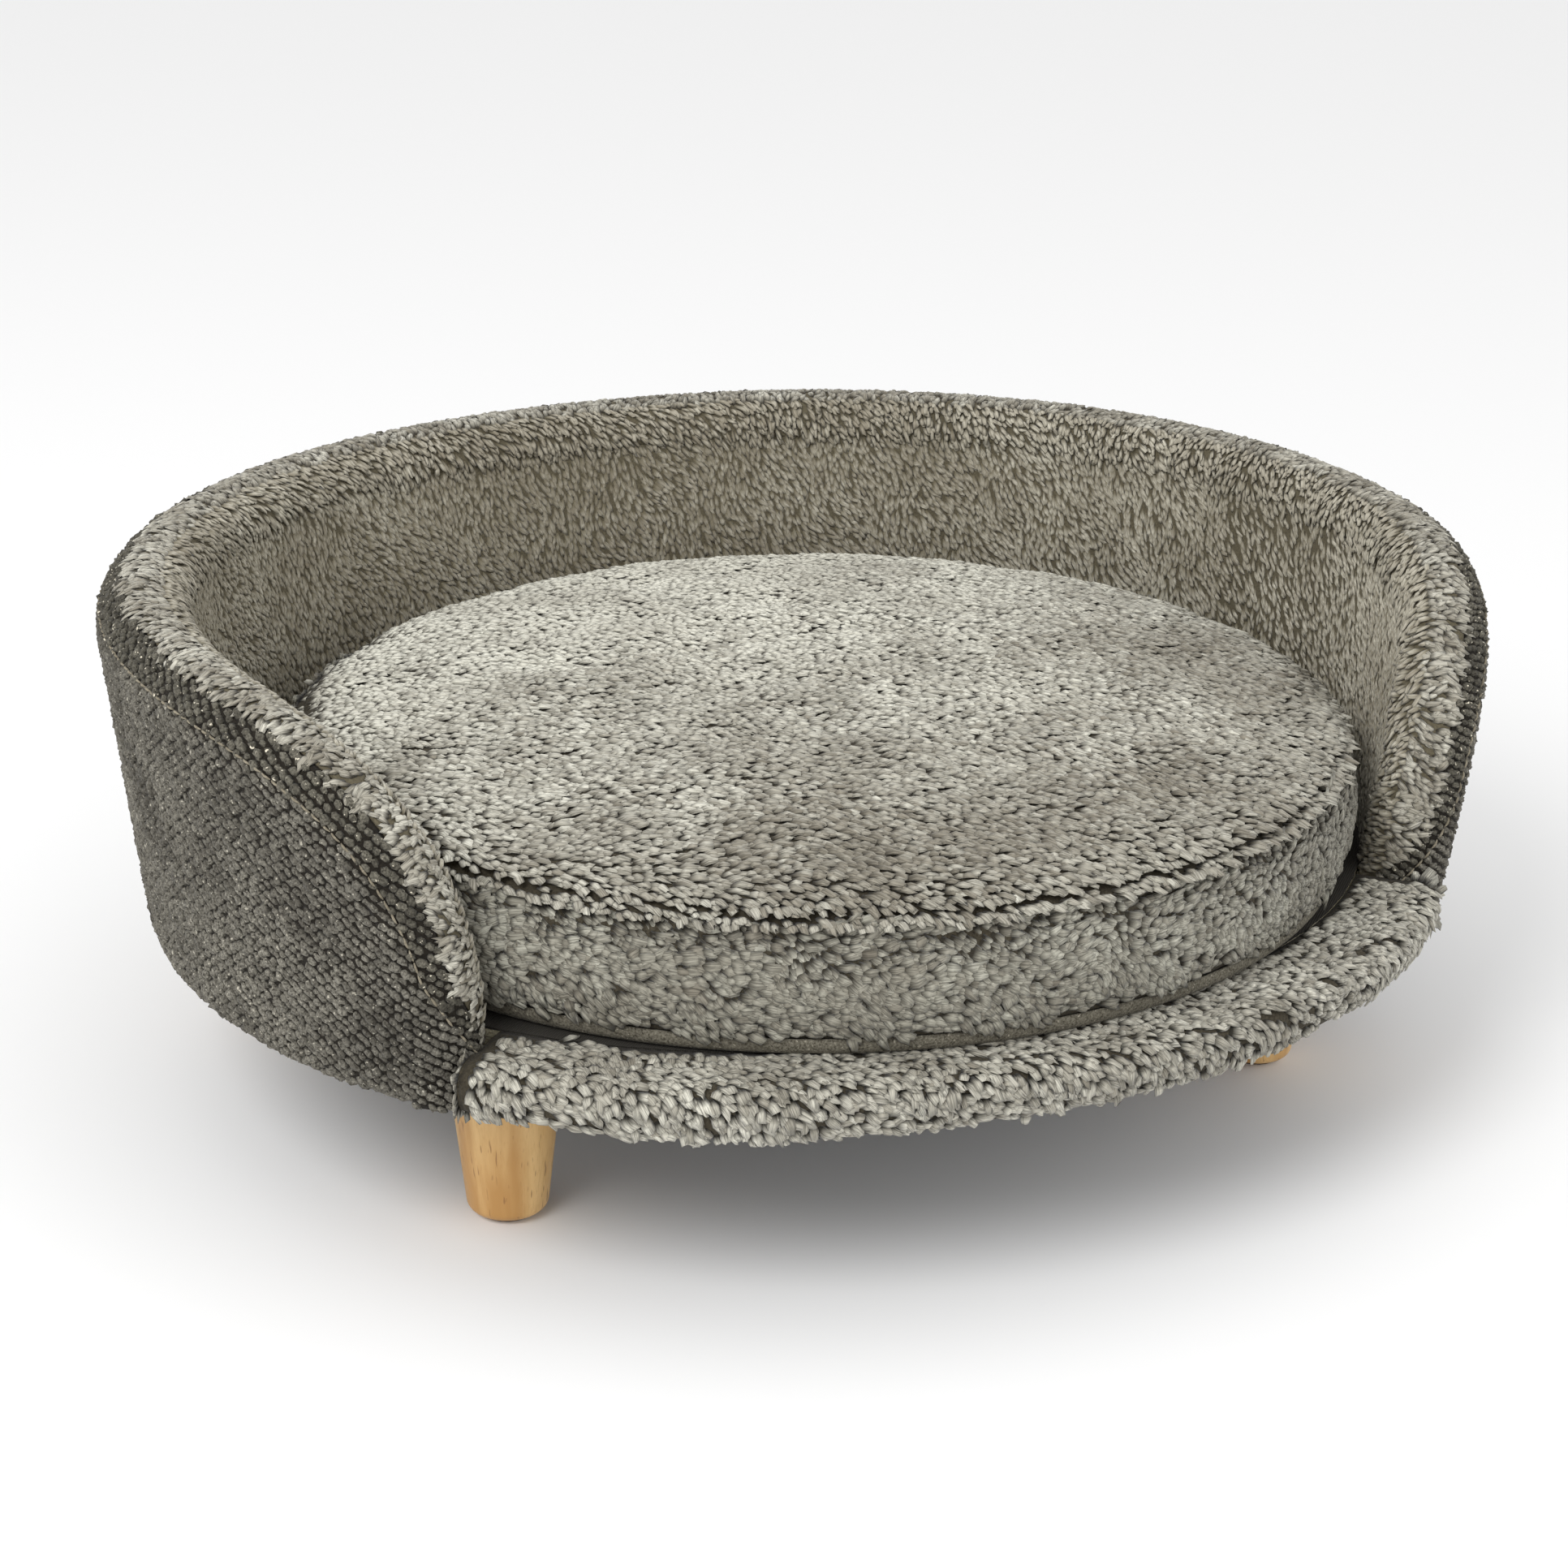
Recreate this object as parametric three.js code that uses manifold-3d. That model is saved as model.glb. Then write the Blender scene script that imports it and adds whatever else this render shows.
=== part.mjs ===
// Raised oval pet bed: a low upholstered wall open at the front, a padded base on four turned
// legs, and a loose boxed cushion with a zipped cover.
// Millimetres, +Z up, the open front faces -Y, and the feet stand at Z = 0.
import * as THREE from 'three';
import { mergeVertices } from 'three/addons/utils/BufferGeometryUtils.js';
import Module from 'manifold-3d';

const wasm = await Module();
wasm.setup();

// Overall sizes
const rimWidth = 696;          // outside of the wall at its rim, left to right
const rimDepth = 642;          // outside of the rim's oval, front to back
const rimHeight = 268;         // floor to the top of the rim at the back
const legHeight = 93;          // floor to the underside of the base

// Wall
const ovalPower = 2.1;         // 2 is an ellipse, more is squarer
const wallThickness = 42;
const sideLean = 16.3;         // how far the wall's foot lies inside its rim at the sides
const frontLean = 22.4;        // and at the front and back
const mouthAngle = 54;         // half the open front, in degrees round the oval
const sweepAngle = 50;         // degrees over which the wall climbs to full height
const sweepRise = 4.9;         // how soon the climb levels out
const sweepSwell = 3.2;        // how upright the climb starts
const seamAngle = 64;          // where the two wall covers meet, in degrees round the roll
const baseRound = 9;           // radius of the covers' lower edge
const tuckWidth = 34;          // how far the covers reach in under the board

// Layers
const clearance = 0.3;         // between pieces that touch
const rollSeat = 0.7;          // glue line under the roll on the wall's edge
const seamGap = 1.2;           // between two cover edges
const coverThickness = 1.5;
const shellThickness = 5;
const wadThickness = 4.4;      // thin foam on the outside of the shell
const dustThickness = 1;
const dustLap = 18;            // how far the dust cover laps over the tucked edge
const boardThickness = 10;
const shellSeat = 1;           // the shell stands this far above the board's underside
const deckFoamHeight = 12;
const deckClothThickness = 1;
const apronDrop = 1;           // the apron's top lies this much below the deck
const apronRound = 9;          // radius of the apron's upper edge

// Legs and their fixings
const legSpanX = 416;          // between the legs' middles, left to right
const legSpanY = 244;          // between the legs' middles, front to back
const legTopRadius = 29.2;
const legFootRadius = 19;
const legFootRound = 5;
const glideHeight = 1.5;
const glideRadius = 13;
const boltRadius = 4;
const boltFit = 0.3;           // radial room round the bolt
const boltDepth = 42;          // length of the bolt inside the leg
const nutWall = 1;
const nutFlangeRadius = 9.5;
const nutFlangeThickness = 1.5;
const nutDepth = 8;            // length of the nut's barrel in the board
const nutRoom = 1;             // round the nut's flange in the deck foam
const cutPast = 5;             // how far a hole's tool runs past the faces it cuts

// Battens that stiffen the wall
const battenTurns = [75, 127, 180, 233, 285];
const battenWidth = 20;
const battenFit = 1.4;         // glue line between a flat batten and the curved shell
const battenTop = 216;         // height of the battens' top ends
const screwRadius = 2;
const screwHeadRadius = 4;
const screwHeadHeight = 2.6;
const screwLength = 38;
const screwSink = 0.2;         // of the head in the board's underside
const screwRim = 0.6;          // height of the head's edge
const screwPoint = 4;

// Cushion
const cushionWidth = 546;
const cushionDepth = 524;
const cushionOffset = -15;     // the cushion's middle lies this far in front of the oval's
const seamHeight = 185;        // height of the seam between top panel and boxing
const crownHeight = 17;        // rise of the top panel above that seam
const crownPower = 3;          // more is flatter in the middle
const boxingSwell = 3;         // how far the boxing swells between its seams
const panelInset = 0.5;        // of the top panel's edge inside the boxing's

// Zip at the back of the cushion
const zipAngle = 22;           // half the zip's length, in degrees
const zipHeight = 152;
const zipHalfHeight = 9;
const tapeThickness = 1;
const coilHeight = 2.4;
const coilThickness = 2.4;
const coilSlit = 1.4;          // between the two rows of the coil
const slideRoom = 5.5;         // behind the boxing's face, for the slider's inner plate
const windowReach = 8;         // of the tool that opens the boxing for the zip
const windowEnd = 1;           // degrees that the opening runs past the zip's ends
const sliderLength = 10;
const plateThickness = 1.2;
const bridgeThickness = 0.8;
const stopAngle = 0.5;
const stopGap = 0.1;           // degrees between a stop and the coil
const slideGap = 0.2;          // degrees between the slider and the closed end
const earThickness = 1;
const earHeight = 3.2;
const earHalfWidth = 1.6;
const earSink = 0.2;           // of an ear in the slider's plate
const pullerLength = 22;
const pullerWidth = 5;
const pullerThickness = 1.2;
const pinRadius = 0.9;

// Heights that follow from the sizes above
const dustBottom = legHeight;
const coverBottom = dustBottom + dustThickness + clearance;
const boardBottom = coverBottom + coverThickness + clearance;
const boardTop = boardBottom + boardThickness;
const deckFoamBottom = boardTop + clearance;
const deckFoamTop = deckFoamBottom + deckFoamHeight;
const deckClothTop = deckFoamTop + clearance + deckClothThickness;
const cushionBottom = deckClothTop + clearance;
const rollRadius = wallThickness / 2;

// Distances from the wall's middle surface, positive outwards
const foamSkin = rollRadius - coverThickness - clearance;
const shellOutside = foamSkin - wadThickness - clearance;
const shellInside = shellOutside - shellThickness;
const boardEdge = shellInside - clearance;
const deckEdge = -rollRadius - clearance;

const radians = THREE.MathUtils.degToRad;
const colours = {
  plush: [0x9b948a, 0.95, 0], weave: [0x625c53, 0.9, 0], beech: [0xd9b07c, 0.45, 0],
  plywood: [0xc9a46f, 0.6, 0], foam: [0xe9e2c8, 0.9, 0], wadding: [0xeceae4, 0.95, 0],
  cloth: [0x2b2a2a, 0.9, 0], steel: [0xb4b6b8, 0.35, 1], felt: [0x5b5148, 1, 0],
  pine: [0xdcb882, 0.7, 0], zip: [0x4a463f, 0.7, 0], nickel: [0x8d8a84, 0.35, 1],
};

const bed = new THREE.Group();

// Signed volume of an indexed geometry, negative when its faces point inwards.
function signedVolume(geometry) {
  const position = geometry.attributes.position;
  const corners = [new THREE.Vector3(), new THREE.Vector3(), new THREE.Vector3()];
  let volume = 0;
  for (let i = 0; i < geometry.index.count; i += 3) {
    corners.forEach((corner, j) => corner.fromBufferAttribute(position, geometry.index.getX(i + j)));
    volume += corners[0].dot(corners[1].clone().cross(corners[2])) / 6;
  }
  return volume;
}

// Welds a geometry's corners, drops faces without area and turns the faces outwards.
function weld(geometry) {
  geometry.deleteAttribute('normal');
  geometry.deleteAttribute('uv');
  const welded = mergeVertices(geometry, 1e-4);
  const kept = [];
  for (let i = 0; i < welded.index.count; i += 3) {
    const face = [0, 1, 2].map((j) => welded.index.getX(i + j));
    if (new Set(face).size === 3) kept.push(...face);
  }
  welded.setIndex(kept);
  if (signedVolume(welded) < 0) welded.setIndex(kept.reverse());
  return welded;
}

function addPiece(name, geometry, finish, parent = bed) {
  const [color, roughness, metalness] = colours[finish];
  const welded = weld(geometry);
  welded.computeVertexNormals();
  const mesh = new THREE.Mesh(welded, new THREE.MeshStandardMaterial({ color, roughness, metalness }));
  mesh.name = name;
  parent.add(mesh);
  return mesh;
}

function geometryFrom(points, faces) {
  const geometry = new THREE.BufferGeometry();
  const values = points.flatMap((p) => [p.x, p.y, p.z]);
  geometry.setAttribute('position', new THREE.Float32BufferAttribute(values, 3));
  geometry.setIndex(faces.flat());
  return geometry;
}

function toManifold(geometry) {
  const welded = weld(geometry.clone());
  const vertProperties = new Float32Array(welded.attributes.position.array);
  const triVerts = new Uint32Array(welded.index.array);
  return new wasm.Manifold(new wasm.Mesh({ numProp: 3, vertProperties, triVerts }));
}

function fromManifold(solid) {
  const mesh = solid.getMesh();
  const geometry = new THREE.BufferGeometry();
  geometry.setAttribute('position', new THREE.Float32BufferAttribute(mesh.vertProperties, 3));
  geometry.setIndex(Array.from(mesh.triVerts));
  return geometry;
}

// The first geometry with the others cut away.
function cut(geometry, tools) {
  let result = toManifold(geometry);
  for (const tool of tools) result = result.subtract(toManifold(tool));
  return fromManifold(result);
}

// Overlapping geometries as one solid.
function joined(solids) {
  return fromManifold(solids.map(toManifold).reduce((sum, next) => sum.add(next)));
}

// A solid between two matching grids of points. Grids that share an edge become one sheet.
function sheetSolid(patches) {
  const outside = [];
  const inside = [];
  const known = new Map();
  const faces = [];
  const corner = (out, inner) => {
    const key = [...out.toArray(), ...inner.toArray()].map((v) => Math.round(v * 1000)).join();
    if (!known.has(key)) {
      known.set(key, outside.length);
      outside.push(out);
      inside.push(inner);
    }
    return known.get(key);
  };
  for (const patch of patches) {
    const grid = patch.outside.map((row, i) => row.map((point, j) => corner(point, patch.inside[i][j])));
    for (let i = 0; i + 1 < grid.length; i++) {
      for (let j = 0; j + 1 < grid[i].length; j++) {
        const [a, b, c, d] = [grid[i][j], grid[i + 1][j], grid[i + 1][j + 1], grid[i][j + 1]];
        if (new Set([a, b, c]).size === 3) faces.push([a, b, c]);
        if (new Set([a, c, d]).size === 3) faces.push([a, c, d]);
      }
    }
  }
  const edges = new Set(faces.flatMap(([a, b, c]) => [`${a},${b}`, `${b},${c}`, `${c},${a}`]));
  const count = outside.length;
  const all = [...faces];
  for (const [a, b, c] of faces) all.push([c + count, b + count, a + count]);
  for (const edge of edges) {
    const [a, b] = edge.split(',').map(Number);
    if (!edges.has(`${b},${a}`)) all.push([b, a, a + count], [b, a + count, b + count]);
  }
  return geometryFrom([...outside, ...inside], all);
}

// A solid through a row of closed outlines, each an array of 3D points, with flat ends.
function loftSolid(outlines, flatOutline) {
  const size = outlines[0].length;
  const points = outlines.flat();
  const faces = [];
  for (let i = 0; i + 1 < outlines.length; i++) {
    for (let j = 0; j < size; j++) {
      const [a, b] = [i * size + j, i * size + ((j + 1) % size)];
      faces.push([a, b, b + size], [a, b + size, a + size]);
    }
  }
  const last = (outlines.length - 1) * size;
  const turned = THREE.ShapeUtils.isClockWise(flatOutline);
  const ordered = turned ? [...flatOutline].reverse() : flatOutline;
  for (const face of THREE.ShapeUtils.triangulateShape(ordered, [])) {
    const [a, b, c] = turned ? face.map((k) => size - 1 - k).reverse() : face;
    faces.push([c, b, a], [a + last, b + last, c + last]);
  }
  return geometryFrom(points, faces);
}

// A solid of revolution about a vertical axis; profile points are [radius, height].
function turnedSolid(profile, segments, x = 0, y = 0) {
  const lathe = new THREE.LatheGeometry(profile.map(([r, z]) => new THREE.Vector2(r, z)), segments);
  return lathe.rotateX(Math.PI / 2).translate(x, y, 0);
}

function cylinderZ(radius, bottom, top, x, y, segments = 16) {
  return turnedSolid([[0, bottom], [radius, bottom], [radius, top], [0, top]], segments, x, y);
}

function steps(count, from, to) {
  return Array.from({ length: count + 1 }, (_, i) => from + ((to - from) * i) / count);
}

// ---- the wall's shape ----

// Plan of the wall's middle surface. A turn of 0 is the front and pi is the back.
function wallPoint(turn, z, out) {
  const up = (z - legHeight) / (rimHeight - rollRadius - legHeight);
  const halfX = rimWidth / 2 - rollRadius - sideLean * (1 - up);
  const halfY = rimDepth / 2 - rollRadius - frontLean * (1 - up);
  const bend = (v) => Math.sign(v) * Math.abs(v) ** (2 / ovalPower);
  const middle = new THREE.Vector3(halfX * bend(Math.sin(turn)), -halfY * bend(Math.cos(turn)), z);
  return middle.addScaledVector(outward(turn), out);
}

function outward(turn) {
  const bend = (v) => Math.sign(v) * Math.abs(v) ** (2 - 2 / ovalPower);
  const halfX = rimWidth / 2 - rollRadius;
  const halfY = rimDepth / 2 - rollRadius;
  return new THREE.Vector3(bend(Math.sin(turn)) / halfX, -bend(Math.cos(turn)) / halfY, 0).normalize();
}

// Height of the middle of the edge roll, part of the way up the sweep.
function edgeHeight(part) {
  const rise = (1 - (1 - Math.min(part, 1)) ** sweepRise) ** (1 / sweepSwell);
  return legHeight + (rimHeight - rollRadius - legHeight) * rise;
}

// Stations along the wall's edge, from the left foot round the back to the right foot.
const sweepStations = 12;
const firstStation = 2;
const backStations = 8;
const footLevels = 2;

function edgeStations() {
  const half = [];
  for (let i = firstStation; i <= sweepStations; i++) {
    const part = (i / sweepStations) ** 3;
    half.push({ turn: radians(mouthAngle + sweepAngle * part), z: edgeHeight(part) });
  }
  for (const turn of steps(backStations, radians(mouthAngle + sweepAngle), Math.PI).slice(1)) {
    half.push({ turn, z: edgeHeight(1) });
  }
  const foot = steps(footLevels, deckFoamBottom, half[0].z).slice(0, -1);
  const right = [...foot.map((z) => ({ turn: half[0].turn, z })), ...half];
  const left = right.map(({ turn, z }) => ({ turn: 2 * Math.PI - turn, z }));
  const all = [...left.slice(0, -1), ...right.reverse()];
  for (const station of all) {
    station.core = wallPoint(station.turn, station.z, 0);
    station.out = outward(station.turn);
  }
  all.forEach((station, i) => {
    const before = all[Math.max(i - 1, 0)].core;
    const after = all[Math.min(i + 1, all.length - 1)].core;
    station.up = new THREE.Vector3().subVectors(after, before).cross(station.out);
    if (i < footLevels || i >= all.length - footLevels) station.up.z = 0;
    station.up.normalize();
  });
  return all;
}

const stations = edgeStations();
const ribs = stations.slice(footLevels, stations.length - footLevels);

// A point of the roll: an angle of 0 faces outwards, 90 faces up and 180 inwards.
function rollPoint(station, angle, radius) {
  return station.core.clone()
    .addScaledVector(station.out, radius * Math.cos(angle))
    .addScaledVector(station.up, radius * Math.sin(angle));
}

const ribHeights = (rib) => steps(footLevels, deckFoamBottom, rib.z);

// Two matching grids: along the stations, and across by a function of station and step.
function patch(rows, across, outside, inside) {
  return {
    outside: rows.map((row) => across(row).map((step) => outside(row, step))),
    inside: rows.map((row) => across(row).map((step) => inside(row, step))),
  };
}

const liningStart = radians(seamAngle) + seamGap / rollRadius;
const coverAngles = steps(3, 0, radians(seamAngle));
const liningAngles = steps(5, liningStart, Math.PI);

const rollPatch = (angles) => patch(
  stations,
  () => angles,
  (station, angle) => rollPoint(station, angle, rollRadius),
  (station, angle) => rollPoint(station, angle, rollRadius - coverThickness),
);

// Section of a cover under the base: inner end of the tuck, round the lower edge, up to the face.
const roundCentre = [rollRadius - baseRound, coverBottom + baseRound];
function lowerEdge(shrink) {
  const radius = baseRound - shrink;
  const arc = steps(3, -Math.PI / 2, 0).map((a) => [
    roundCentre[0] + radius * Math.cos(a),
    roundCentre[1] + radius * Math.sin(a),
  ]);
  return [[rollRadius - tuckWidth, coverBottom + shrink], ...arc];
}

function outerCover() {
  const low = [lowerEdge(0), lowerEdge(coverThickness)];
  const face = (depth) => (rib, step) => (Array.isArray(step)
    ? wallPoint(rib.turn, step[1], step[0])
    : wallPoint(rib.turn, step, rollRadius - depth));
  const lowPatch = {
    outside: ribs.map((rib) => [...low[0], deckFoamBottom].map((step) => face(0)(rib, step))),
    inside: ribs.map((rib) => [...low[1], deckFoamBottom].map((step) => face(coverThickness)(rib, step))),
  };
  const facePatch = patch(ribs, ribHeights, face(0), face(coverThickness));
  return sheetSolid([lowPatch, facePatch, rollPatch(coverAngles)]);
}

function wallLining() {
  const down = (rib) => ribHeights(rib).reverse();
  const facePatch = patch(
    ribs,
    down,
    (rib, z) => wallPoint(rib.turn, z, -rollRadius),
    (rib, z) => wallPoint(rib.turn, z, coverThickness - rollRadius),
  );
  return sheetSolid([rollPatch(liningAngles), facePatch]);
}

// A slab that follows the wall between two distances from its middle, up to the roll.
function wallSlab(outer, inner, bottom) {
  const across = (rib) => steps(footLevels, bottom, rib.z - rollSeat);
  const grid = patch(
    ribs,
    across,
    (rib, z) => wallPoint(rib.turn, z, outer),
    (rib, z) => wallPoint(rib.turn, z, inner),
  );
  return sheetSolid([grid]);
}

// Half-round foam along the wall's edge, seated on the slabs below it.
function rimRoll() {
  const angles = [...coverAngles, ...liningAngles];
  const section = angles.map((a) => new THREE.Vector2(Math.cos(a), Math.sin(a)));
  const outlines = stations.map((station) => angles.map((angle) => (
    rollPoint(station, angle, foamSkin).addScaledVector(station.up, rollSeat * (1 - Math.sin(angle)))
  )));
  return loftSolid(outlines, section);
}

// ---- the base ----

// The turn that goes with a short distance along the wall.
function turnFor(distance, turn) {
  const small = 0.01;
  const reach = wallPoint(turn + small, boardTop, 0).distanceTo(wallPoint(turn - small, boardTop, 0));
  return (2 * small * distance) / reach;
}

// Room for the apron in front of the wall's feet, as a turn round the oval.
function mouthTurn() {
  const foot = ribs[ribs.length - 1].turn;
  return foot - turnFor(rollRadius + seamGap, foot);
}

// All plan outlines share their corners with the wall's stations, so nested pieces stay parallel.
const apronTurns = steps(18, -mouthTurn(), mouthTurn());
const planTurns = [...apronTurns, ...ribs.map((rib) => rib.turn).reverse()];
const planOutline = (z, out) => planTurns.map((turn) => wallPoint(turn, z, out));

function ovalSlab(bottom, top, out) {
  const flat = planOutline(bottom, out).map((p) => new THREE.Vector2(p.x, p.y));
  return loftSolid([planOutline(bottom, out), planOutline(top, out)], flat);
}

const signs = [-1, 1];
const corners = signs.flatMap((side) => signs.map((end) => ({
  name: `${end < 0 ? 'front' : 'back'}_${side < 0 ? 'left' : 'right'}`,
  x: (side * legSpanX) / 2,
  y: (end * legSpanY) / 2,
})));

const apronTop = deckFoamTop - apronDrop;

function apronFoam() {
  const low = lowerEdge(coverThickness + clearance).slice(1);
  const middle = [foamSkin - apronRound, apronTop - apronRound];
  const high = steps(3, 0, Math.PI / 2).map((a) => [
    middle[0] + apronRound * Math.cos(a),
    middle[1] + apronRound * Math.sin(a),
  ]);
  const inner = [[deckEdge + 2 * clearance, apronTop], [deckEdge + 2 * clearance, deckFoamBottom]];
  const edge = boardEdge + clearance;
  const section = [...low, ...high, ...inner, [edge, deckFoamBottom], [edge, low[0][1]]];
  const outlines = apronTurns.map((turn) => section.map(([out, z]) => wallPoint(turn, z, out)));
  return loftSolid(outlines, section.map(([out, z]) => new THREE.Vector2(out, z)));
}

function apronCover() {
  const side = (shrink) => {
    const radius = apronRound + coverThickness + clearance - shrink;
    const middle = [foamSkin - apronRound, apronTop - apronRound];
    const high = steps(3, 0, Math.PI / 2).map((a) => [
      middle[0] + radius * Math.cos(a),
      middle[1] + radius * Math.sin(a),
    ]);
    return [...lowerEdge(shrink), ...high, [deckEdge + 2 * clearance, middle[1] + radius]];
  };
  const grid = (section) => apronTurns.map((turn) => section.map(([out, z]) => wallPoint(turn, z, out)));
  return sheetSolid([{ outside: grid(side(0)), inside: grid(side(coverThickness)) }]);
}

// ---- legs and fixings ----

const boltTop = boardTop + nutFlangeThickness;
const boltHole = boltRadius + boltFit;
const nutRadius = boltHole + nutWall;
const legBottom = glideHeight + clearance;
const legTop = legHeight - clearance;

function leg(x, y) {
  const rounding = steps(3, -Math.PI / 2, 0).map((a) => [
    legFootRadius - legFootRound * (1 - Math.cos(a)),
    legBottom + legFootRound * (1 + Math.sin(a)),
  ]);
  const holeBottom = legTop - boltDepth - 2 * clearance;
  const hole = [[boltHole, legTop], [boltHole, holeBottom], [0, holeBottom]];
  return turnedSolid([[0, legBottom], ...rounding, [legTopRadius, legTop], ...hole], 22, x, y);
}

function hangerBolt(x, y) {
  return cylinderZ(boltRadius, legTop - boltDepth, boltTop, x, y);
}

function teeNut(x, y) {
  const seat = boardTop + clearance;
  const bottom = boardTop - nutDepth;
  const profile = [
    [boltHole, bottom], [nutRadius, bottom], [nutRadius, seat],
    [nutFlangeRadius, seat], [nutFlangeRadius, seat + nutFlangeThickness],
    [boltHole, seat + nutFlangeThickness], [boltHole, bottom],
  ];
  return turnedSolid(profile, 16, x, y);
}

// ---- battens ----

function batten(turn, grow) {
  const half = battenWidth / 2 + grow;
  const outer = shellInside - battenFit + grow;
  const inner = shellInside - battenFit - battenWidth - grow;
  const section = [[-half, inner], [half, inner], [half, outer], [-half, outer]];
  const outline = (z) => section.map(([side, out]) => wallPoint(turn + turnFor(side, turn), z, out));
  const low = outline(deckFoamBottom - 2 * grow);
  const flat = section.map(([side, out]) => new THREE.Vector2(side, out));
  return loftSolid([low, outline(battenTop + grow)], flat);
}

const battenFoot = (turn) => wallPoint(turn, deckFoamBottom, shellInside - battenFit - battenWidth / 2);

function battenScrew(turn, grow) {
  const { x, y } = battenFoot(turn);
  const head = boardBottom + screwSink;
  const rim = screwHeadRadius + grow;
  const shank = screwRadius + grow;
  const profile = [
    [0, head - 4 * grow], [rim, head - 4 * grow], [rim, head + screwRim + grow],
    [shank, head + screwHeadHeight + grow], [shank, head + screwLength - screwPoint + grow],
    [0, head + screwLength + 2 * grow],
  ];
  return turnedSolid(profile, 12, x, y);
}

// ---- assembling the fixed frame ----

const battens = battenTurns.map(radians);
const bolts = (grow) => corners.map(({ x, y }) => (
  cylinderZ(nutRadius + grow, dustBottom - cutPast, boardTop + cutPast, x, y)
));
const nutPockets = corners.map(({ x, y }) => (
  cylinderZ(nutFlangeRadius + nutRoom, boardTop - nutRoom, boltTop + nutFlangeThickness, x, y)
));

const pockets = battens.map((turn) => batten(turn, 2 * clearance));
const screwHoles = battens.map((turn) => battenScrew(turn, clearance));

addPiece('dust_cover', cut(
  ovalSlab(dustBottom, dustBottom + dustThickness, rollRadius - tuckWidth + dustLap),
  bolts(nutRoom),
), 'cloth');
addPiece('base_board', cut(
  ovalSlab(boardBottom, boardTop, boardEdge),
  [...bolts(clearance), ...screwHoles],
), 'plywood');
addPiece('deck_foam', cut(ovalSlab(deckFoamBottom, deckFoamTop, deckEdge), nutPockets), 'foam');
addPiece('deck_cloth', ovalSlab(deckFoamTop + clearance, deckClothTop, deckEdge), 'cloth');
addPiece('apron_foam', apronFoam(), 'foam');
addPiece('apron_cover', apronCover(), 'plush');

addPiece('wall_shell', wallSlab(shellOutside, shellInside, boardBottom + shellSeat), 'plywood');
addPiece('outer_wadding', wallSlab(foamSkin, shellOutside + clearance, roundCentre[1]), 'wadding');
addPiece('wall_foam', cut(
  wallSlab(shellInside - clearance, -foamSkin, deckFoamBottom),
  pockets,
), 'foam');
addPiece('rim_roll_foam', rimRoll(), 'foam');
addPiece('outer_cover', outerCover(), 'weave');
addPiece('wall_lining', wallLining(), 'plush');

battens.forEach((turn, i) => {
  addPiece(`batten_${i + 1}`, cut(batten(turn, 0), [screwHoles[i]]), 'pine');
  addPiece(`batten_screw_${i + 1}`, battenScrew(turn, 0), 'steel');
});

for (const { name, x, y } of corners) {
  addPiece(`leg_${name}`, leg(x, y), 'beech');
  addPiece(`glide_${name}`, cylinderZ(glideRadius, 0, glideHeight, x, y, 20), 'felt');
  addPiece(`leg_bolt_${name}`, hangerBolt(x, y), 'steel');
  addPiece(`tee_nut_${name}`, teeNut(x, y), 'steel');
}

// ---- the cushion ----

const cushion = new THREE.Group();
bed.add(cushion);

const cushionRadius = cushionWidth / 2;
const cushionSegments = 44;

// A solid of revolution drawn out to the cushion's oval plan.
function cushionSolid(profile) {
  const round = turnedSolid(profile, cushionSegments);
  return round.scale(1, cushionDepth / cushionWidth, 1).translate(0, cushionOffset, 0);
}

// Radius of the boxing's outside at a height.
function boxingRadius(z) {
  const up = (2 * (z - cushionBottom)) / (seamHeight - cushionBottom) - 1;
  return cushionRadius - boxingSwell * Math.abs(up) ** 3;
}

const domeHeight = (radius, edge) => seamHeight + crownHeight * (1 - (radius / edge) ** crownPower);
const domeParts = [0, 0.35, 0.6, 0.8, 0.92, 1];

function topPanel() {
  const edge = boxingRadius(seamHeight) - panelInset;
  const face = (lift) => domeParts.map((part) => [part * edge, domeHeight(part * edge, edge) + lift]);
  const outside = face(clearance + coverThickness);
  const inside = face(clearance);
  return cushionSolid([...inside, ...outside.reverse()]);
}

const boxingHeights = steps(6, cushionBottom, seamHeight);

function boxing() {
  const outside = boxingHeights.map((z) => [boxingRadius(z), z]);
  const inside = boxingHeights.map((z) => [boxingRadius(z) - coverThickness, z]).reverse();
  const ring = cushionSolid([...outside, ...inside, outside[0]]);
  const end = zipAngle + windowEnd;
  return cut(ring, [zipArc(-windowReach, windowReach, -zipHalfHeight, zipHalfHeight, -end, end)]);
}

function bottomPanel() {
  const edge = boxingRadius(cushionBottom) - coverThickness - clearance;
  const top = cushionBottom + coverThickness;
  return cushionSolid([[0, cushionBottom], [edge, cushionBottom], [edge, top], [0, top]]);
}

function cushionCore() {
  const low = cushionBottom + coverThickness + clearance;
  const side = steps(4, low, seamHeight).map((z) => [boxingRadius(z) - slideRoom, z]);
  const edge = side[side.length - 1][0];
  const dome = domeParts.slice(0, -1).reverse().map((part) => (
    [part * edge, domeHeight(part * edge, edge) - panelInset]
  ));
  return cushionSolid([[0, low], ...side, ...dome]);
}

// Round the back the cushion's oval is an arc of this radius about this middle.
const zipRadius = (cushionRadius ** 2) / (cushionDepth / 2) - coverThickness;
const zipMiddleY = cushionOffset + cushionDepth / 2 - coverThickness - zipRadius;

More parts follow.
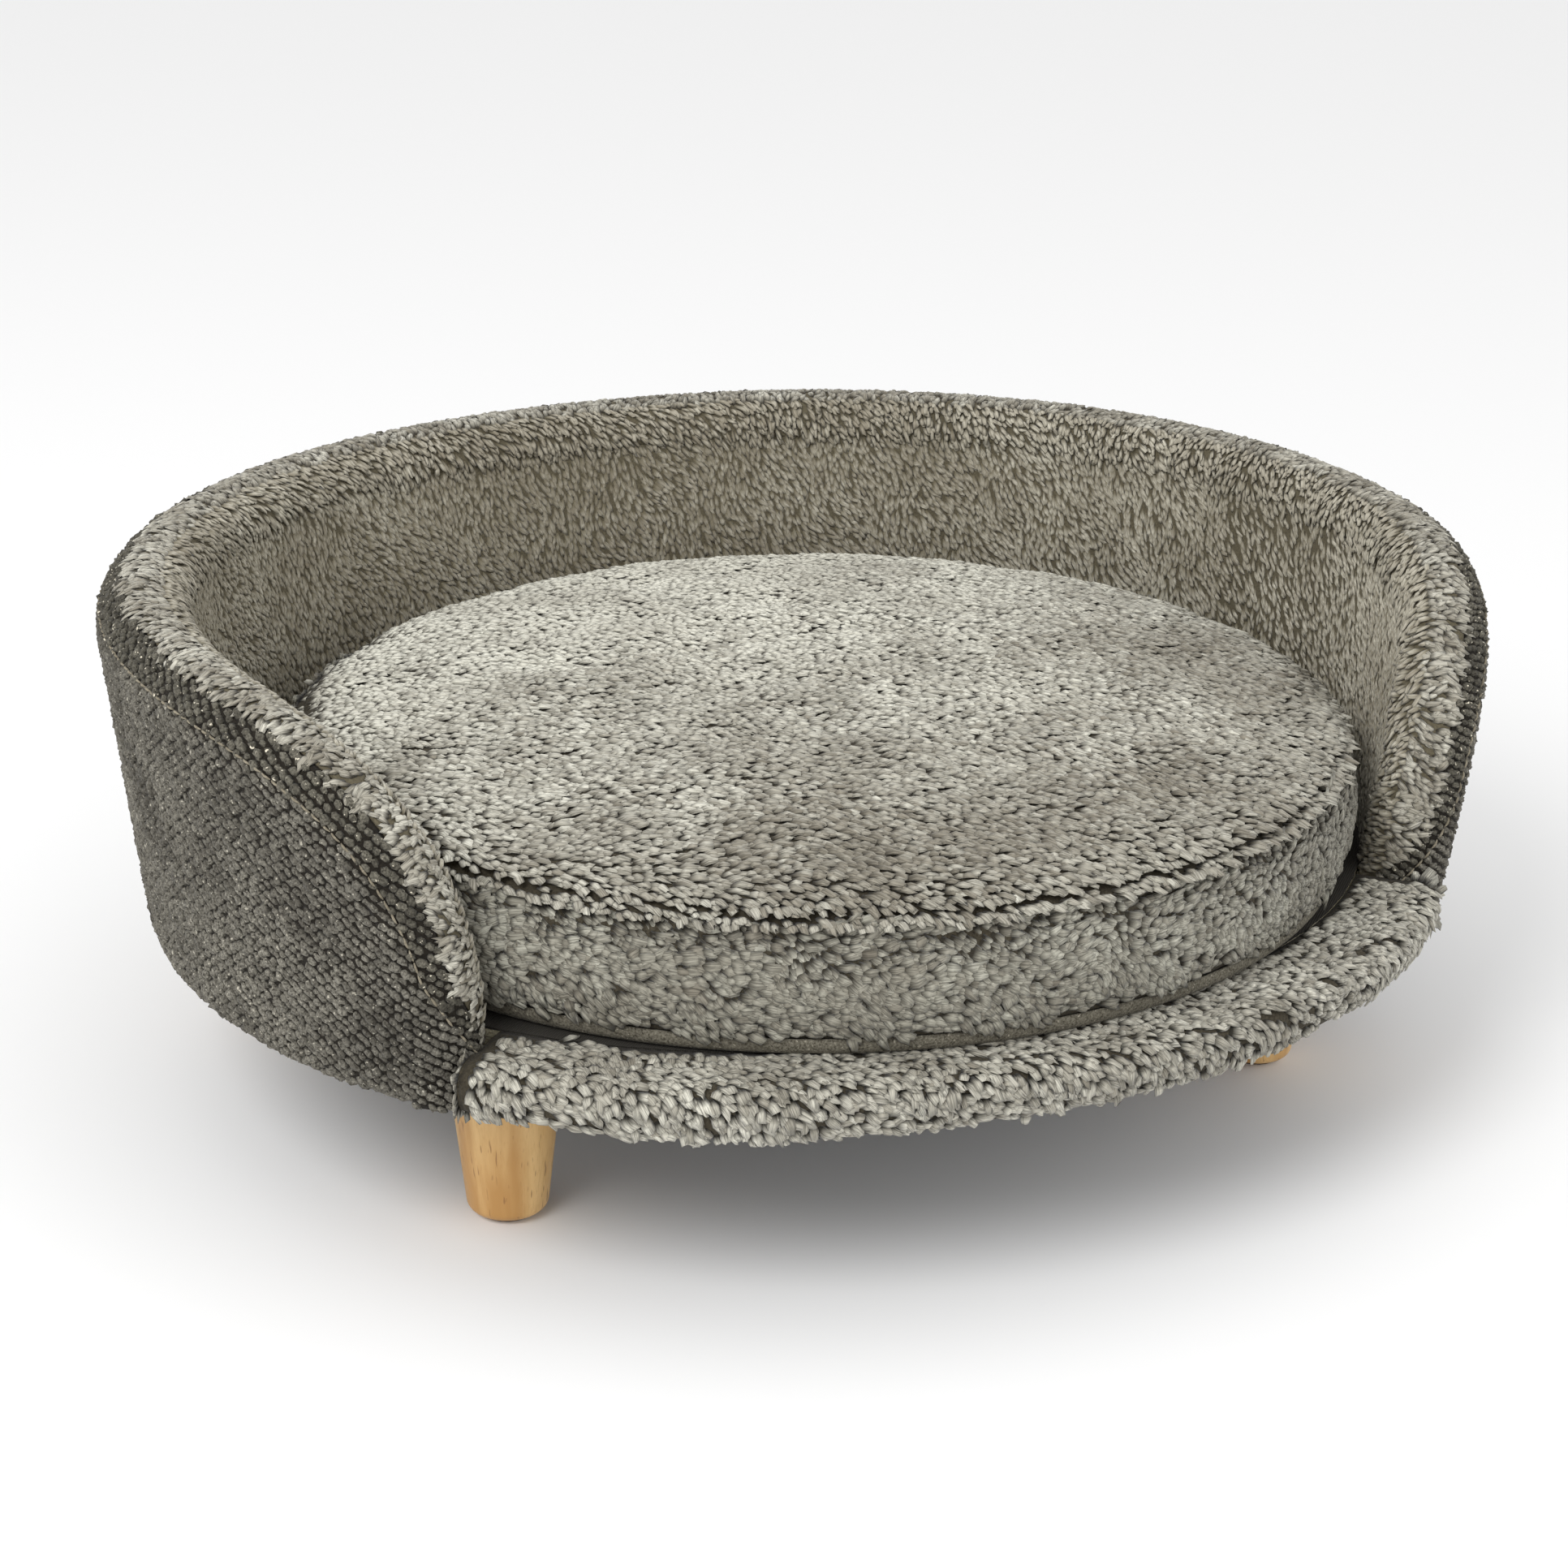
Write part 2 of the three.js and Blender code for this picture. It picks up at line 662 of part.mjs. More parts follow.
// A band that follows the arc, between distances from it, heights from the zip's and two angles.
function zipArc(inner, outer, low, high, from, to, count = 14) {
  const section = [[inner, low], [outer, low], [outer, high], [inner, high]];
  const outlines = steps(count, radians(from), radians(to)).map((angle) => section.map(([out, rise]) => (
    new THREE.Vector3(
      (zipRadius + out) * Math.sin(angle),
      zipMiddleY + (zipRadius + out) * Math.cos(angle),
      zipHeight + rise,
    )
  )));
  return loftSolid(outlines, section.map(([out, rise]) => new THREE.Vector2(out, rise)));
}

addPiece('cushion_core', cushionCore(), 'foam', cushion);
addPiece('cushion_top_panel', topPanel(), 'plush', cushion);
addPiece('cushion_boxing', boxing(), 'plush', cushion);
addPiece('cushion_bottom_panel', bottomPanel(), 'weave', cushion);

// ---- the zip ----

const tapeHalf = tapeThickness / 2;
const coilHalf = coilThickness / 2;
const coilInner = coilSlit / 2;
const coilOuter = coilInner + coilHeight;

for (const [name, side] of [['upper', 1], ['lower', -1]]) {
  const heights = (a, b) => [side * a, side * b].sort((p, q) => p - q);
  const band = (half, low, high) => zipArc(-half, half, ...heights(low, high), -zipAngle, zipAngle);
  const tape = band(tapeHalf, coilOuter + clearance, zipHalfHeight - clearance);
  addPiece(`zip_tape_${name}`, tape, 'zip', cushion);
  addPiece(`zip_coil_${name}`, band(coilHalf, coilInner, coilOuter), 'zip', cushion);
}
for (const [name, side] of [['left', -1], ['right', 1]]) {
  const angles = [side * (zipAngle + stopGap), side * (zipAngle + stopAngle)].sort((p, q) => p - q);
  const stop = zipArc(-coilHalf, coilHalf, -coilOuter, coilOuter, ...angles, 2);
  addPiece(`zip_stop_${name}`, stop, 'nickel', cushion);
}

// The slider is closed at the left end of the zip: two plates joined through the coil's slit.
const plateStart = coilHalf + clearance;
const plateEnd = plateStart + plateThickness;
const sliderHalfAngle = THREE.MathUtils.radToDeg(sliderLength / 2 / zipRadius);
const sliderAngle = -zipAngle + sliderHalfAngle + slideGap;
const sliderSpan = [sliderAngle - sliderHalfAngle, sliderAngle + sliderHalfAngle];

// Two ears on the slider's outer plate hold the puller's pin between them.
const pinOut = plateEnd + earHeight / 2 + earSink;
const earAngle = THREE.MathUtils.radToDeg((pullerWidth / 2 + clearance) / zipRadius);
const earSpan = THREE.MathUtils.radToDeg(earThickness / zipRadius);
const halfBridge = bridgeThickness / 2;
const ears = signs.map((side) => {
  const span = [side * earAngle, side * (earAngle + earSpan)].sort((p, q) => p - q);
  const angles = span.map((a) => a + sliderAngle);
  return zipArc(plateEnd - earSink, plateEnd + earHeight, -earHalfWidth, earHalfWidth, ...angles, 2);
});
addPiece('zip_slider', joined([
  zipArc(plateStart, plateEnd, -coilOuter, coilOuter, ...sliderSpan, 4),
  zipArc(-plateEnd, -plateStart, -coilOuter, coilOuter, ...sliderSpan, 4),
  zipArc(-plateEnd, plateEnd, -halfBridge, halfBridge, ...sliderSpan, 4),
  ...ears,
]), 'nickel', cushion);

// The puller hangs from a crosswise barrel between the ears.
function puller() {
  const barrel = new THREE.CylinderGeometry(pinRadius, pinRadius, pullerWidth, 12);
  barrel.rotateZ(Math.PI / 2);
  const plate = new THREE.BoxGeometry(pullerWidth, pullerThickness, pullerLength);
  plate.translate(0, 0, -pullerLength / 2);
  const whole = joined([barrel, plate]);
  const reach = zipRadius + pinOut;
  const angle = radians(sliderAngle);
  whole.rotateZ(-angle);
  return whole.translate(reach * Math.sin(angle), zipMiddleY + reach * Math.cos(angle), zipHeight);
}
addPiece('zip_puller', puller(), 'nickel', cushion);

// The whole bed is centred on its own outer box.
const box = new THREE.Box3().setFromObject(bed, true);
bed.position.y = -(box.min.y + box.max.y) / 2;
bed.updateMatrixWorld(true);

export default bed;
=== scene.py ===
import math

import bmesh
import bpy
import numpy as np
from mathutils import Matrix, Vector
from mathutils.bvhtree import BVHTree


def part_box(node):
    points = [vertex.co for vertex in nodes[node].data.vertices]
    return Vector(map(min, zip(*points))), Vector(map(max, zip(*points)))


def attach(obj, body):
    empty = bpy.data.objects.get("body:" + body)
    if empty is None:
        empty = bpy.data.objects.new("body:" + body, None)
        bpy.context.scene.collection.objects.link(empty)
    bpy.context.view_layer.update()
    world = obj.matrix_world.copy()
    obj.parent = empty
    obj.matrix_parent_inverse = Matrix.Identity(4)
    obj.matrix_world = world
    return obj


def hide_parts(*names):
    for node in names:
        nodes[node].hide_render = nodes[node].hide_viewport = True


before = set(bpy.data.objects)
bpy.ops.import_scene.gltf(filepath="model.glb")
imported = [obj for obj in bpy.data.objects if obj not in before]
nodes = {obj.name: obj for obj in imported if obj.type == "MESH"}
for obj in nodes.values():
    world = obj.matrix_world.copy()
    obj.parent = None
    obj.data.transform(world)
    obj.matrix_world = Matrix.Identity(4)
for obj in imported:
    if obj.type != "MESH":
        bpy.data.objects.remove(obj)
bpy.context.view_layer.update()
bpy.ops.object.select_all(action="DESELECT")
print("frame loaded")

# Camera, floor and lights

view = {
    "target": (-0.00764, -0.00498, 0.13921),
    "distance": 1.61115,
    "azimuth": -25.07,
    "elevation": 21.58,
    "roll": 0.88,
    "lens": 71.5,
}

studio = {
    "floorColour": "#f4f4f4",
    "world": 0.92,
    "key": 44,
    "keyPlace": (-1.9, -1.2, 2.2),
    "fill": 8,
    "fillPlace": (1.6, -1.9, 1.2),
}


def linear(colour, alpha=1.0):
    parts = [int(colour[i:i + 2], 16) / 255 for i in (1, 3, 5)]
    return [p / 12.92 if p < 0.04045 else ((p + 0.055) / 1.055) ** 2.4 for p in parts] + [alpha]


def placeCamera():
    turn, lift, roll = (math.radians(view[k]) for k in ("azimuth", "elevation", "roll"))
    back = Vector((math.sin(turn) * math.cos(lift), -math.cos(turn) * math.cos(lift), math.sin(lift)))
    right = Vector((math.cos(turn), math.sin(turn), 0))
    up = back.cross(right)
    side = math.cos(roll) * right + math.sin(roll) * up
    top = math.cos(roll) * up - math.sin(roll) * right
    data = bpy.data.cameras.new("camera")
    data.lens = view["lens"]
    data.sensor_width = 36
    data.clip_start, data.clip_end = 0.05, 60
    camera = bpy.data.objects.new("camera", data)
    bpy.context.scene.collection.objects.link(camera)
    place = Vector(view["target"]) + back * view["distance"]
    camera.matrix_world = Matrix((side, top, back)).transposed().to_4x4()
    camera.location = place
    bpy.context.scene.camera = camera


def addLight(name, place, size, power, target=(0, 0, 0.12)):
    data = bpy.data.lights.new(name, "AREA")
    data.shape = "DISK"
    data.size = size
    data.energy = power
    light = bpy.data.objects.new(name, data)
    bpy.context.scene.collection.objects.link(light)
    light.location = place
    light.rotation_mode = "QUATERNION"
    light.rotation_quaternion = (Vector(target) - Vector(place)).to_track_quat("-Z", "Y")
    return light


def plainMaterial(name, colour, roughness=0.8, metallic=0.0):
    material = bpy.data.materials.new(name)
    material.use_nodes = True
    shader = material.node_tree.nodes["Principled BSDF"]
    shader.inputs["Base Color"].default_value = linear(colour)
    shader.inputs["Roughness"].default_value = roughness
    shader.inputs["Metallic"].default_value = metallic
    return material, material.node_tree, shader


def setStage():
    bpy.ops.mesh.primitive_plane_add(size=44, location=(0, 0, 0))
    floor = bpy.context.object
    floor.name = "floor"
    floor.data.materials.append(plainMaterial("paleFloor", studio["floorColour"], 0.9)[0])
    world = bpy.data.worlds.new("softRoom")
    world.use_nodes = True
    world.node_tree.nodes["Background"].inputs["Color"].default_value = (1, 1, 1, 1)
    world.node_tree.nodes["Background"].inputs["Strength"].default_value = studio["world"]
    bpy.context.scene.world = world
    addLight("key", studio["keyPlace"], 1.6, studio["key"])
    addLight("fill", studio["fillPlace"], 1.8, studio["fill"])
    bpy.context.scene.view_settings.view_transform = "Standard"
    bpy.ops.object.select_all(action="DESELECT")


placeCamera()
setStage()
print("camera, floor and lights set")

# Shader groups and materials


class Tree:  # short ways to add and join nodes
    def __init__(self, tree):
        self.tree = tree

    def node(self, kind, **settings):
        made = self.tree.nodes.new("ShaderNode" + kind)
        for name, value in settings.items():
            setattr(made, name, value)
        return made

    def put(self, socket, value):
        if isinstance(value, bpy.types.NodeSocket):
            self.tree.links.new(value, socket)
        else:
            socket.default_value = value

    def maths(self, operation, a, b=0.0):
        made = self.node("Math", operation=operation)
        self.put(made.inputs[0], a)
        self.put(made.inputs[1], b)
        return made.outputs[0]

    def span(self, value, low, high, toLow=0.0, toHigh=1.0):
        made = self.node("MapRange")
        for i, part in enumerate((value, low, high, toLow, toHigh)):
            self.put(made.inputs[i], part)
        return made.outputs[0]

    def mix(self, factor, a, b):
        made = self.node("Mix", data_type="RGBA")
        self.put(made.inputs[0], factor)
        self.put(made.inputs[6], a)
        self.put(made.inputs[7], b)
        return made.outputs[2]

    def noise(self, vector, scale, detail=2.0, roughness=0.5):
        made = self.node("TexNoise")
        self.put(made.inputs["Vector"], vector)
        self.put(made.inputs["Scale"], scale)
        made.inputs["Detail"].default_value = detail
        made.inputs["Roughness"].default_value = roughness
        return made.outputs["Fac"]

    def stretched(self, vector, scale, place=(0, 0, 0)):
        made = self.node("Mapping")
        self.put(made.inputs["Vector"], vector)
        made.inputs["Scale"].default_value = scale
        made.inputs["Location"].default_value = place
        return made.outputs["Vector"]

    def place(self):
        return self.node("TexCoord").outputs["Object"]


def newGroup(name, inputs, outputs):
    group = bpy.data.node_groups.new(name, "ShaderNodeTree")
    for label, kind, value in inputs:
        socket = group.interface.new_socket(name=label, in_out="INPUT", socket_type="NodeSocket" + kind)
        socket.default_value = value
    for label, kind in outputs:
        group.interface.new_socket(name=label, in_out="OUTPUT", socket_type="NodeSocket" + kind)
    tree = Tree(group)
    ins = tree.tree.nodes.new("NodeGroupInput").outputs
    outs = tree.tree.nodes.new("NodeGroupOutput").inputs
    return group, tree, ins, outs


def pileGroup():
    # colour of one tuft: painted shade that darkens it towards the root, pale tip, fine strands along it with painted
    # shade between them, brushed patches over the cloth
    group, tree, ins, outs = newGroup(
        "pileTone",
        [("Tip", "Color", (1, 1, 1, 1)), ("Shaded Root", "Color", (0, 0, 0, 1)), ("Patch And Shade", "Color", (0.5, 0.5, 0.5, 1)),
         ("Patch Scale", "Float", 9.0), ("Patch Amount", "Float", 0.6), ("Strands", "Float", 5.0)],
        [("Color", "Color"), ("Height", "Float")],
    )
    shade = tree.node("Attribute", attribute_name="shade").outputs["Fac"]
    along = tree.node("SeparateXYZ")
    tree.put(along.inputs[0], tree.node("UVMap", uv_map="strand").outputs["UV"])
    across, length = along.outputs[0], along.outputs[1]
    strand = tree.node("CombineXYZ")
    tree.put(strand.inputs[0], tree.maths("MULTIPLY", across, ins["Strands"]))
    tree.put(strand.inputs[1], tree.maths("MULTIPLY", length, 0.8))
    tree.put(strand.inputs[2], tree.maths("MULTIPLY", shade, 53.0))
    streak = tree.noise(strand.outputs[0], 1.3, 2.0, 0.55)
    patches = tree.span(tree.noise(tree.place(), ins["Patch Scale"], 4.0, 0.62), 0.44, 0.6)
    body = tree.mix(tree.maths("MULTIPLY", patches, ins["Patch Amount"]), ins["Tip"], ins["Patch And Shade"])
    # the shade attribute mixes in the patch colour: it holds the tufts' random tone and darker patches, and the painted
    # shade that the callers of growPile lay on
    body = tree.mix(tree.span(shade, 0.1, 0.95), body, ins["Patch And Shade"])
    # the strands are the fibres' own streaks; between them the colour is pulled most of the way to the root colour as
    # painted shade
    strandShade = tree.mix(tree.span(streak, 0.36, 0.58), tree.mix(0.62, body, ins["Shaded Root"]), body)
    # painted shade: each tuft darkens to the root colour towards its root, where the tufts around it would shade it
    tree.put(outs["Color"], tree.mix(tree.span(length, 0.15, 0.62), ins["Shaded Root"], strandShade))
    tree.put(outs["Height"], streak)
    return group


def weaveGroup():
    # yarn colour with fine fibres, pale flecks and worn patches
    group, tree, ins, outs = newGroup(
        "yarnTone",
        [("Light", "Color", (1, 1, 1, 1)), ("Dark", "Color", (0, 0, 0, 1)), ("Fleck", "Color", (1, 1, 1, 1)),
         ("Fibre Scale", "Float", 900.0), ("Flecks", "Float", 0.5)],
        [("Color", "Color"), ("Height", "Float")],
    )
    shade = tree.node("Attribute", attribute_name="shade").outputs["Fac"]
    place = tree.place()
    fibre = tree.noise(place, ins["Fibre Scale"], 3.0, 0.65)
    patches = tree.noise(place, 11.0, 3.0, 0.6)
    yarn = tree.mix(tree.span(fibre, 0.3, 0.7), ins["Dark"], ins["Light"])
    yarn = tree.mix(tree.span(tree.maths("ADD", tree.maths("MULTIPLY", shade, 0.5), patches), 0.45, 1.05, 0.0, 0.62),
                    yarn, ins["Dark"])
    fleck = tree.span(tree.noise(place, 620.0, 1.0, 0.4), 0.69, 0.74)
    tree.put(outs["Color"], tree.mix(tree.maths("MULTIPLY", fleck, ins["Flecks"]), yarn, ins["Fleck"]))
    tree.put(outs["Height"], fibre)
    return group


def plainWeaveGroup():
    # over and under threads of a flat cloth that lies level, with painted shade where the threads dip
    group, tree, ins, outs = newGroup(
        "flatWeave",
        [("Light", "Color", (1, 1, 1, 1)), ("Dark", "Color", (0, 0, 0, 1)), ("Thread Scale", "Float", 700.0)],
        [("Color", "Color"), ("Height", "Float")],
    )
    parts = tree.node("SeparateXYZ")
    tree.put(parts.inputs[0], tree.place())
    waves = [tree.maths("SINE", tree.maths("MULTIPLY", parts.outputs[i], ins["Thread Scale"])) for i in (0, 1, 2)]
    height = tree.maths("ADD", tree.maths("MULTIPLY", waves[0], waves[1]), tree.maths("MULTIPLY", waves[2], 0.5))
    dirt = tree.noise(tree.place(), 60.0, 4.0, 0.6)
    # painted shade: the cloth is darkest where the threads dip under each other; the dirt noise lightens it in patches
    level = tree.maths("ADD", tree.span(height, -1.2, 1.2, 0.0, 0.7), tree.maths("MULTIPLY", dirt, 0.35))
    tree.put(outs["Color"], tree.mix(level, ins["Dark"], ins["Light"]))
    tree.put(outs["Height"], height)
    return group


def grainGroup():
    # wood with its length along Z: growth bands, fine pores and short dark flecks
    group, tree, ins, outs = newGroup(
        "woodGrain",
        [("Light", "Color", (1, 1, 1, 1)), ("Dark", "Color", (0, 0, 0, 1)), ("Fleck", "Color", (0, 0, 0, 1)),
         ("Bands", "Float", 60.0), ("Flecks", "Float", 0.6)],
        [("Color", "Color"), ("Height", "Float"), ("Roughness", "Float")],
    )
    place = tree.place()
    bands = tree.noise(tree.stretched(place, (1, 1, 0.12)), ins["Bands"], 3.0, 0.55)
    pores = tree.noise(tree.stretched(place, (1, 1, 0.045)), 1500.0, 2.0, 0.6)
    flecks = tree.span(tree.noise(tree.stretched(place, (1, 1, 0.09), (0.3, 0, 0)), 620.0, 1.0, 0.4), 0.66, 0.72)
    wood = tree.mix(tree.span(bands, 0.4, 0.6), ins["Light"], ins["Dark"])
    wood = tree.mix(tree.span(pores, 0.5, 0.75, 0.0, 0.4), wood, ins["Dark"])
    tree.put(outs["Color"], tree.mix(tree.maths("MULTIPLY", flecks, ins["Flecks"]), wood, ins["Fleck"]))
    tree.put(outs["Height"], tree.maths("SUBTRACT", bands, tree.maths("MULTIPLY", pores, 0.6)))
    tree.put(outs["Roughness"], tree.span(pores, 0.3, 0.7, 0.36, 0.52))
    return group


def wornGroup():
    # metal, felt and foam: clouded colour, small pits
    group, tree, ins, outs = newGroup(
        "cloudedTone",
        [("Light", "Color", (1, 1, 1, 1)), ("Dark", "Color", (0, 0, 0, 1)), ("Cloud Scale", "Float", 80.0),
         ("Pit Scale", "Float", 900.0), ("Smooth", "Float", 0.3), ("Rough", "Float", 0.5)],
        [("Color", "Color"), ("Height", "Float"), ("Roughness", "Float")],
    )
    place = tree.place()
    clouds = tree.noise(place, ins["Cloud Scale"], 4.0, 0.6)
    pits = tree.node("TexVoronoi")
    tree.put(pits.inputs["Vector"], place)
    tree.put(pits.inputs["Scale"], ins["Pit Scale"])
    tree.put(outs["Color"], tree.mix(tree.span(clouds, 0.35, 0.7), ins["Light"], ins["Dark"]))
    tree.put(outs["Height"], pits.outputs["Distance"])
    tree.put(outs["Roughness"], tree.span(clouds, 0.3, 0.7, ins["Smooth"], ins["Rough"]))
    return group


groups = {
    "pile": pileGroup(), "yarn": weaveGroup(), "flat": plainWeaveGroup(), "wood": grainGroup(), "clouded": wornGroup(),
}


def finish(name, kind, values, roughness=0.85, metallic=0.0, bump=0.3, reach=0.001, sheen=0.0, coat=0.0):
    material, nodeTree, shader = plainMaterial(name, "#808080", roughness, metallic)
    tree = Tree(nodeTree)
    look = tree.node("Group")
    look.node_tree = groups[kind]
    for label, value in values.items():
        look.inputs[label].default_value = linear(value) if isinstance(value, str) else value
    tree.put(shader.inputs["Base Color"], look.outputs["Color"])
    if "Roughness" in look.outputs:
        tree.put(shader.inputs["Roughness"], look.outputs["Roughness"])
    relief = tree.node("Bump")
    relief.inputs["Strength"].default_value = bump
    relief.inputs["Distance"].default_value = reach
    tree.put(relief.inputs["Height"], look.outputs["Height"])
    tree.put(shader.inputs["Normal"], relief.outputs["Normal"])
    shader.inputs["Sheen Weight"].default_value = sheen
    shader.inputs["Sheen Roughness"].default_value = 0.4
    shader.inputs["Coat Weight"].default_value = coat
    shader.inputs["Specular IOR Level"].default_value = 0.5 if metallic or coat else 0.25
    return material


colours = {
    # the root colours are painted shade, the dark each tuft takes on towards its root
    "topPlush": {"Tip": "#e6e4d6", "Shaded Root": "#3c372d", "Patch And Shade": "#948e80", "Patch Scale": 9.0, "Patch Amount": 0.4},
    # painted shade: the boxing's plush is a darker copy of the top's, for the shade on its upright sides
    "shadedSidePlush": {"Tip": "#bab8aa", "Shaded Root": "#2b271e", "Patch And Shade": "#7e786b", "Patch Scale": 16.0, "Patch Amount": 0.4},
    "wallPlush": {"Tip": "#cdc8b8", "Shaded Root": "#69624f", "Patch And Shade": "#918979", "Patch Scale": 12.0, "Patch Amount": 0.45},
    "rimPlush": {"Tip": "#d8d5c7", "Shaded Root": "#39342a", "Patch And Shade": "#8d8677", "Patch Scale": 24.0, "Patch Amount": 0.45},
    "apronPlush": {"Tip": "#dbd8ca", "Shaded Root": "#28251d", "Patch And Shade": "#908a7c", "Patch Scale": 16.0, "Patch Amount": 0.4},
    "coverYarn": {"Light": "#9a968a", "Dark": "#28241e", "Fleck": "#e0dac8", "Flecks": 0.5},
    "bandYarn": {"Light": "#837f72", "Dark": "#25221c", "Fleck": "#e8e0cb", "Flecks": 0.9},
    # painted shade: the backing is near black so the gaps between the woven knots and the rim seam read as shadow
    "backing": {"Light": "#2a251d", "Dark": "#15120e", "Fleck": "#2a251d", "Flecks": 0.0},
    "baseCloth": {"Light": "#8f8a7b", "Dark": "#3a352b", "Fleck": "#cfc8b5", "Flecks": 0.5},
    "stitch": {"Light": "#a79f8c", "Dark": "#6c6454", "Fleck": "#d0c8b4", "Flecks": 0.4},
    # painted shade: the pile's backing is dark so the gaps between tufts on the cushion and apron read as shadow
    "pileBacking": {"Light": "#4d473a", "Dark": "#2f2a20", "Fleck": "#4d473a", "Flecks": 0.0},
    # painted shade: the wall's backing takes the pile's root colour so the gaps between tufts read as shade
    "wallBacking": {"Light": "#69624f", "Dark": "#4c4638", "Fleck": "#69624f", "Flecks": 0.0},
}

materials = {
    name: finish(name, "pile", {**colours[name], "Strands": strands}, 0.72, bump=0.8, reach=0.0006, sheen=0.15)
    for name, strands in (("topPlush", 7.0), ("shadedSidePlush", 8.0), ("wallPlush", 4.0),
                          ("rimPlush", 7.0), ("apronPlush", 8.0))
}
for name in ("coverYarn", "bandYarn", "backing", "baseCloth", "stitch", "pileBacking", "wallBacking"):
    materials[name] = finish(name, "yarn", colours[name], 0.9, bump=0.9, reach=0.0006, sheen=0.05)
print("materials made")

# Plan of the wall

wall = {
    "width": 0.696,
    "depth": 0.642,
    "height": 0.268,
    "thickness": 0.042,
    "ovalPower": 2.1,
    "sideLean": 0.0163,
    "frontLean": 0.0224,
    "mouth": 54,           # degrees round the oval
    "sweep": 50,
    "sweepRise": 4.9,
    "sweepSwell": 3.2,
    "seam": 64,            # degrees round the roll
    "footSeam": 168,       # and at the foot, where the woven cover wraps round the roll
    "footTop": 0.158,
    "seamGap": 0.0012,
    "lowerRound": 0.009,
    "tuck": 0.034,
    "coverThickness": 0.0015,
    "stationGap": 0.004,
}
rollRadius = wall["thickness"] / 2
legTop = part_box("dust_cover")[0].z
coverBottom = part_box("outer_cover")[0].z
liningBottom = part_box("wall_lining")[0].z
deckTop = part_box("deck_cloth")[1].z
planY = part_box("outer_cover")[1].y - wall["depth"] / 2


def bent(value, power):
    return np.sign(value) * np.abs(value) ** power


def unit(vectors):
    return vectors / np.maximum(np.linalg.norm(vectors, axis=-1, keepdims=True), 1e-12)


def outwardAt(turn):
    power = 2 - 2 / wall["ovalPower"]
    x = bent(np.sin(turn), power) / (wall["width"] / 2 - rollRadius)
    y = -bent(np.cos(turn), power) / (wall["depth"] / 2 - rollRadius)
    return unit(np.stack([x, y, 0 * x], -1))


def wallPoint(turn, z, out):
    # a turn of 0 is the front and pi the back; out is the distance from the wall's middle
    turn, z, out = (np.asarray(v, float) for v in np.broadcast_arrays(turn, z, out))
    up = (z - legTop) / (wall["height"] - rollRadius - legTop)
    halfX = wall["width"] / 2 - rollRadius - wall["sideLean"] * (1 - up)
    halfY = wall["depth"] / 2 - rollRadius - wall["frontLean"] * (1 - up)
    power = 2 / wall["ovalPower"]
    x = halfX * bent(np.sin(turn), power)
    y = planY - halfY * bent(np.cos(turn), power)
    return np.stack([x, y, z], -1) + outwardAt(turn) * out[..., None]


def evenly(points, gap, extras=()):
    # resamples a line of points, with the values that go with them, to an even gap
    run = np.concatenate([[0], np.cumsum(np.linalg.norm(np.diff(points, axis=0), axis=1))])
    count = max(3, int(round(run[-1] / gap)) + 1)
    at = np.linspace(0, run[-1], count)
    spots = np.stack([np.interp(at, run, points[:, i]) for i in range(3)], -1)
    return [spots] + [np.interp(at, run, e) for e in extras]


def edgeStations(bottom, gap):
    # middle of the edge roll from the left foot round the back to the right foot
    part = np.linspace(1 / 6, 1, 260) ** 3
    rise = (1 - (1 - part) ** wall["sweepRise"]) ** (1 / wall["sweepSwell"])
    turn = np.radians(wall["mouth"] + wall["sweep"] * part)
    z = legTop + (wall["height"] - rollRadius - legTop) * rise
    foot = np.linspace(bottom, z[0], 24)[:-1]
    back = np.linspace(turn[-1], math.pi, 160)[1:]
    turn = np.concatenate([np.full(len(foot), turn[0]), turn, back])
    z = np.concatenate([foot, z, np.full(len(back), z[-1])])
    turn = np.concatenate([2 * math.pi - turn[:-1], turn[::-1]])
    z = np.concatenate([z[:-1], z[::-1]])
    core, turn, z = evenly(wallPoint(turn, z, 0), gap, (turn, z))
    core = wallPoint(turn, z, 0)
    out = outwardAt(turn)
    up = unit(np.cross(unit(np.gradient(core, axis=0)), out))
    return {"turn": turn, "z": z, "core": core, "out": out, "up": up}


def rollPoint(stations, angle, radius):
    # an angle of 0 faces outwards, 90 degrees up and 180 inwards
    angle = np.asarray(angle, float)
    way = np.cos(angle)[..., None] * stations["out"] + np.sin(angle)[..., None] * stations["up"]
    return stations["core"] + way * np.asarray(radius)[..., None], way


edge = edgeStations(coverBottom, wall["stationGap"])
edgeRight = edge["turn"] < math.pi + 1e-6
footTurn = edge["turn"][-1]
climb = np.argsort(edge["z"][edgeRight])
climbHeights, climbTurns = edge["z"][edgeRight][climb], edge["turn"][edgeRight][climb]


def seamAt(z):
    low = np.clip((wall["footTop"] - np.asarray(z)) / (wall["footTop"] - coverBottom), 0, 1) ** 1.4
    return np.radians(wall["seam"] + (wall["footSeam"] - wall["seam"]) * low)


def startTurn(z):
    # where the wall's edge has climbed to a height, as a turn on the right side
    top = wall["height"] - rollRadius
    if z >= top - 1e-4:
        return math.radians(wall["mouth"] + wall["sweep"])
    below = climbHeights < top - 2e-4
    return float(np.interp(z, climbHeights[below], climbTurns[below]))


# Meshes from arrays


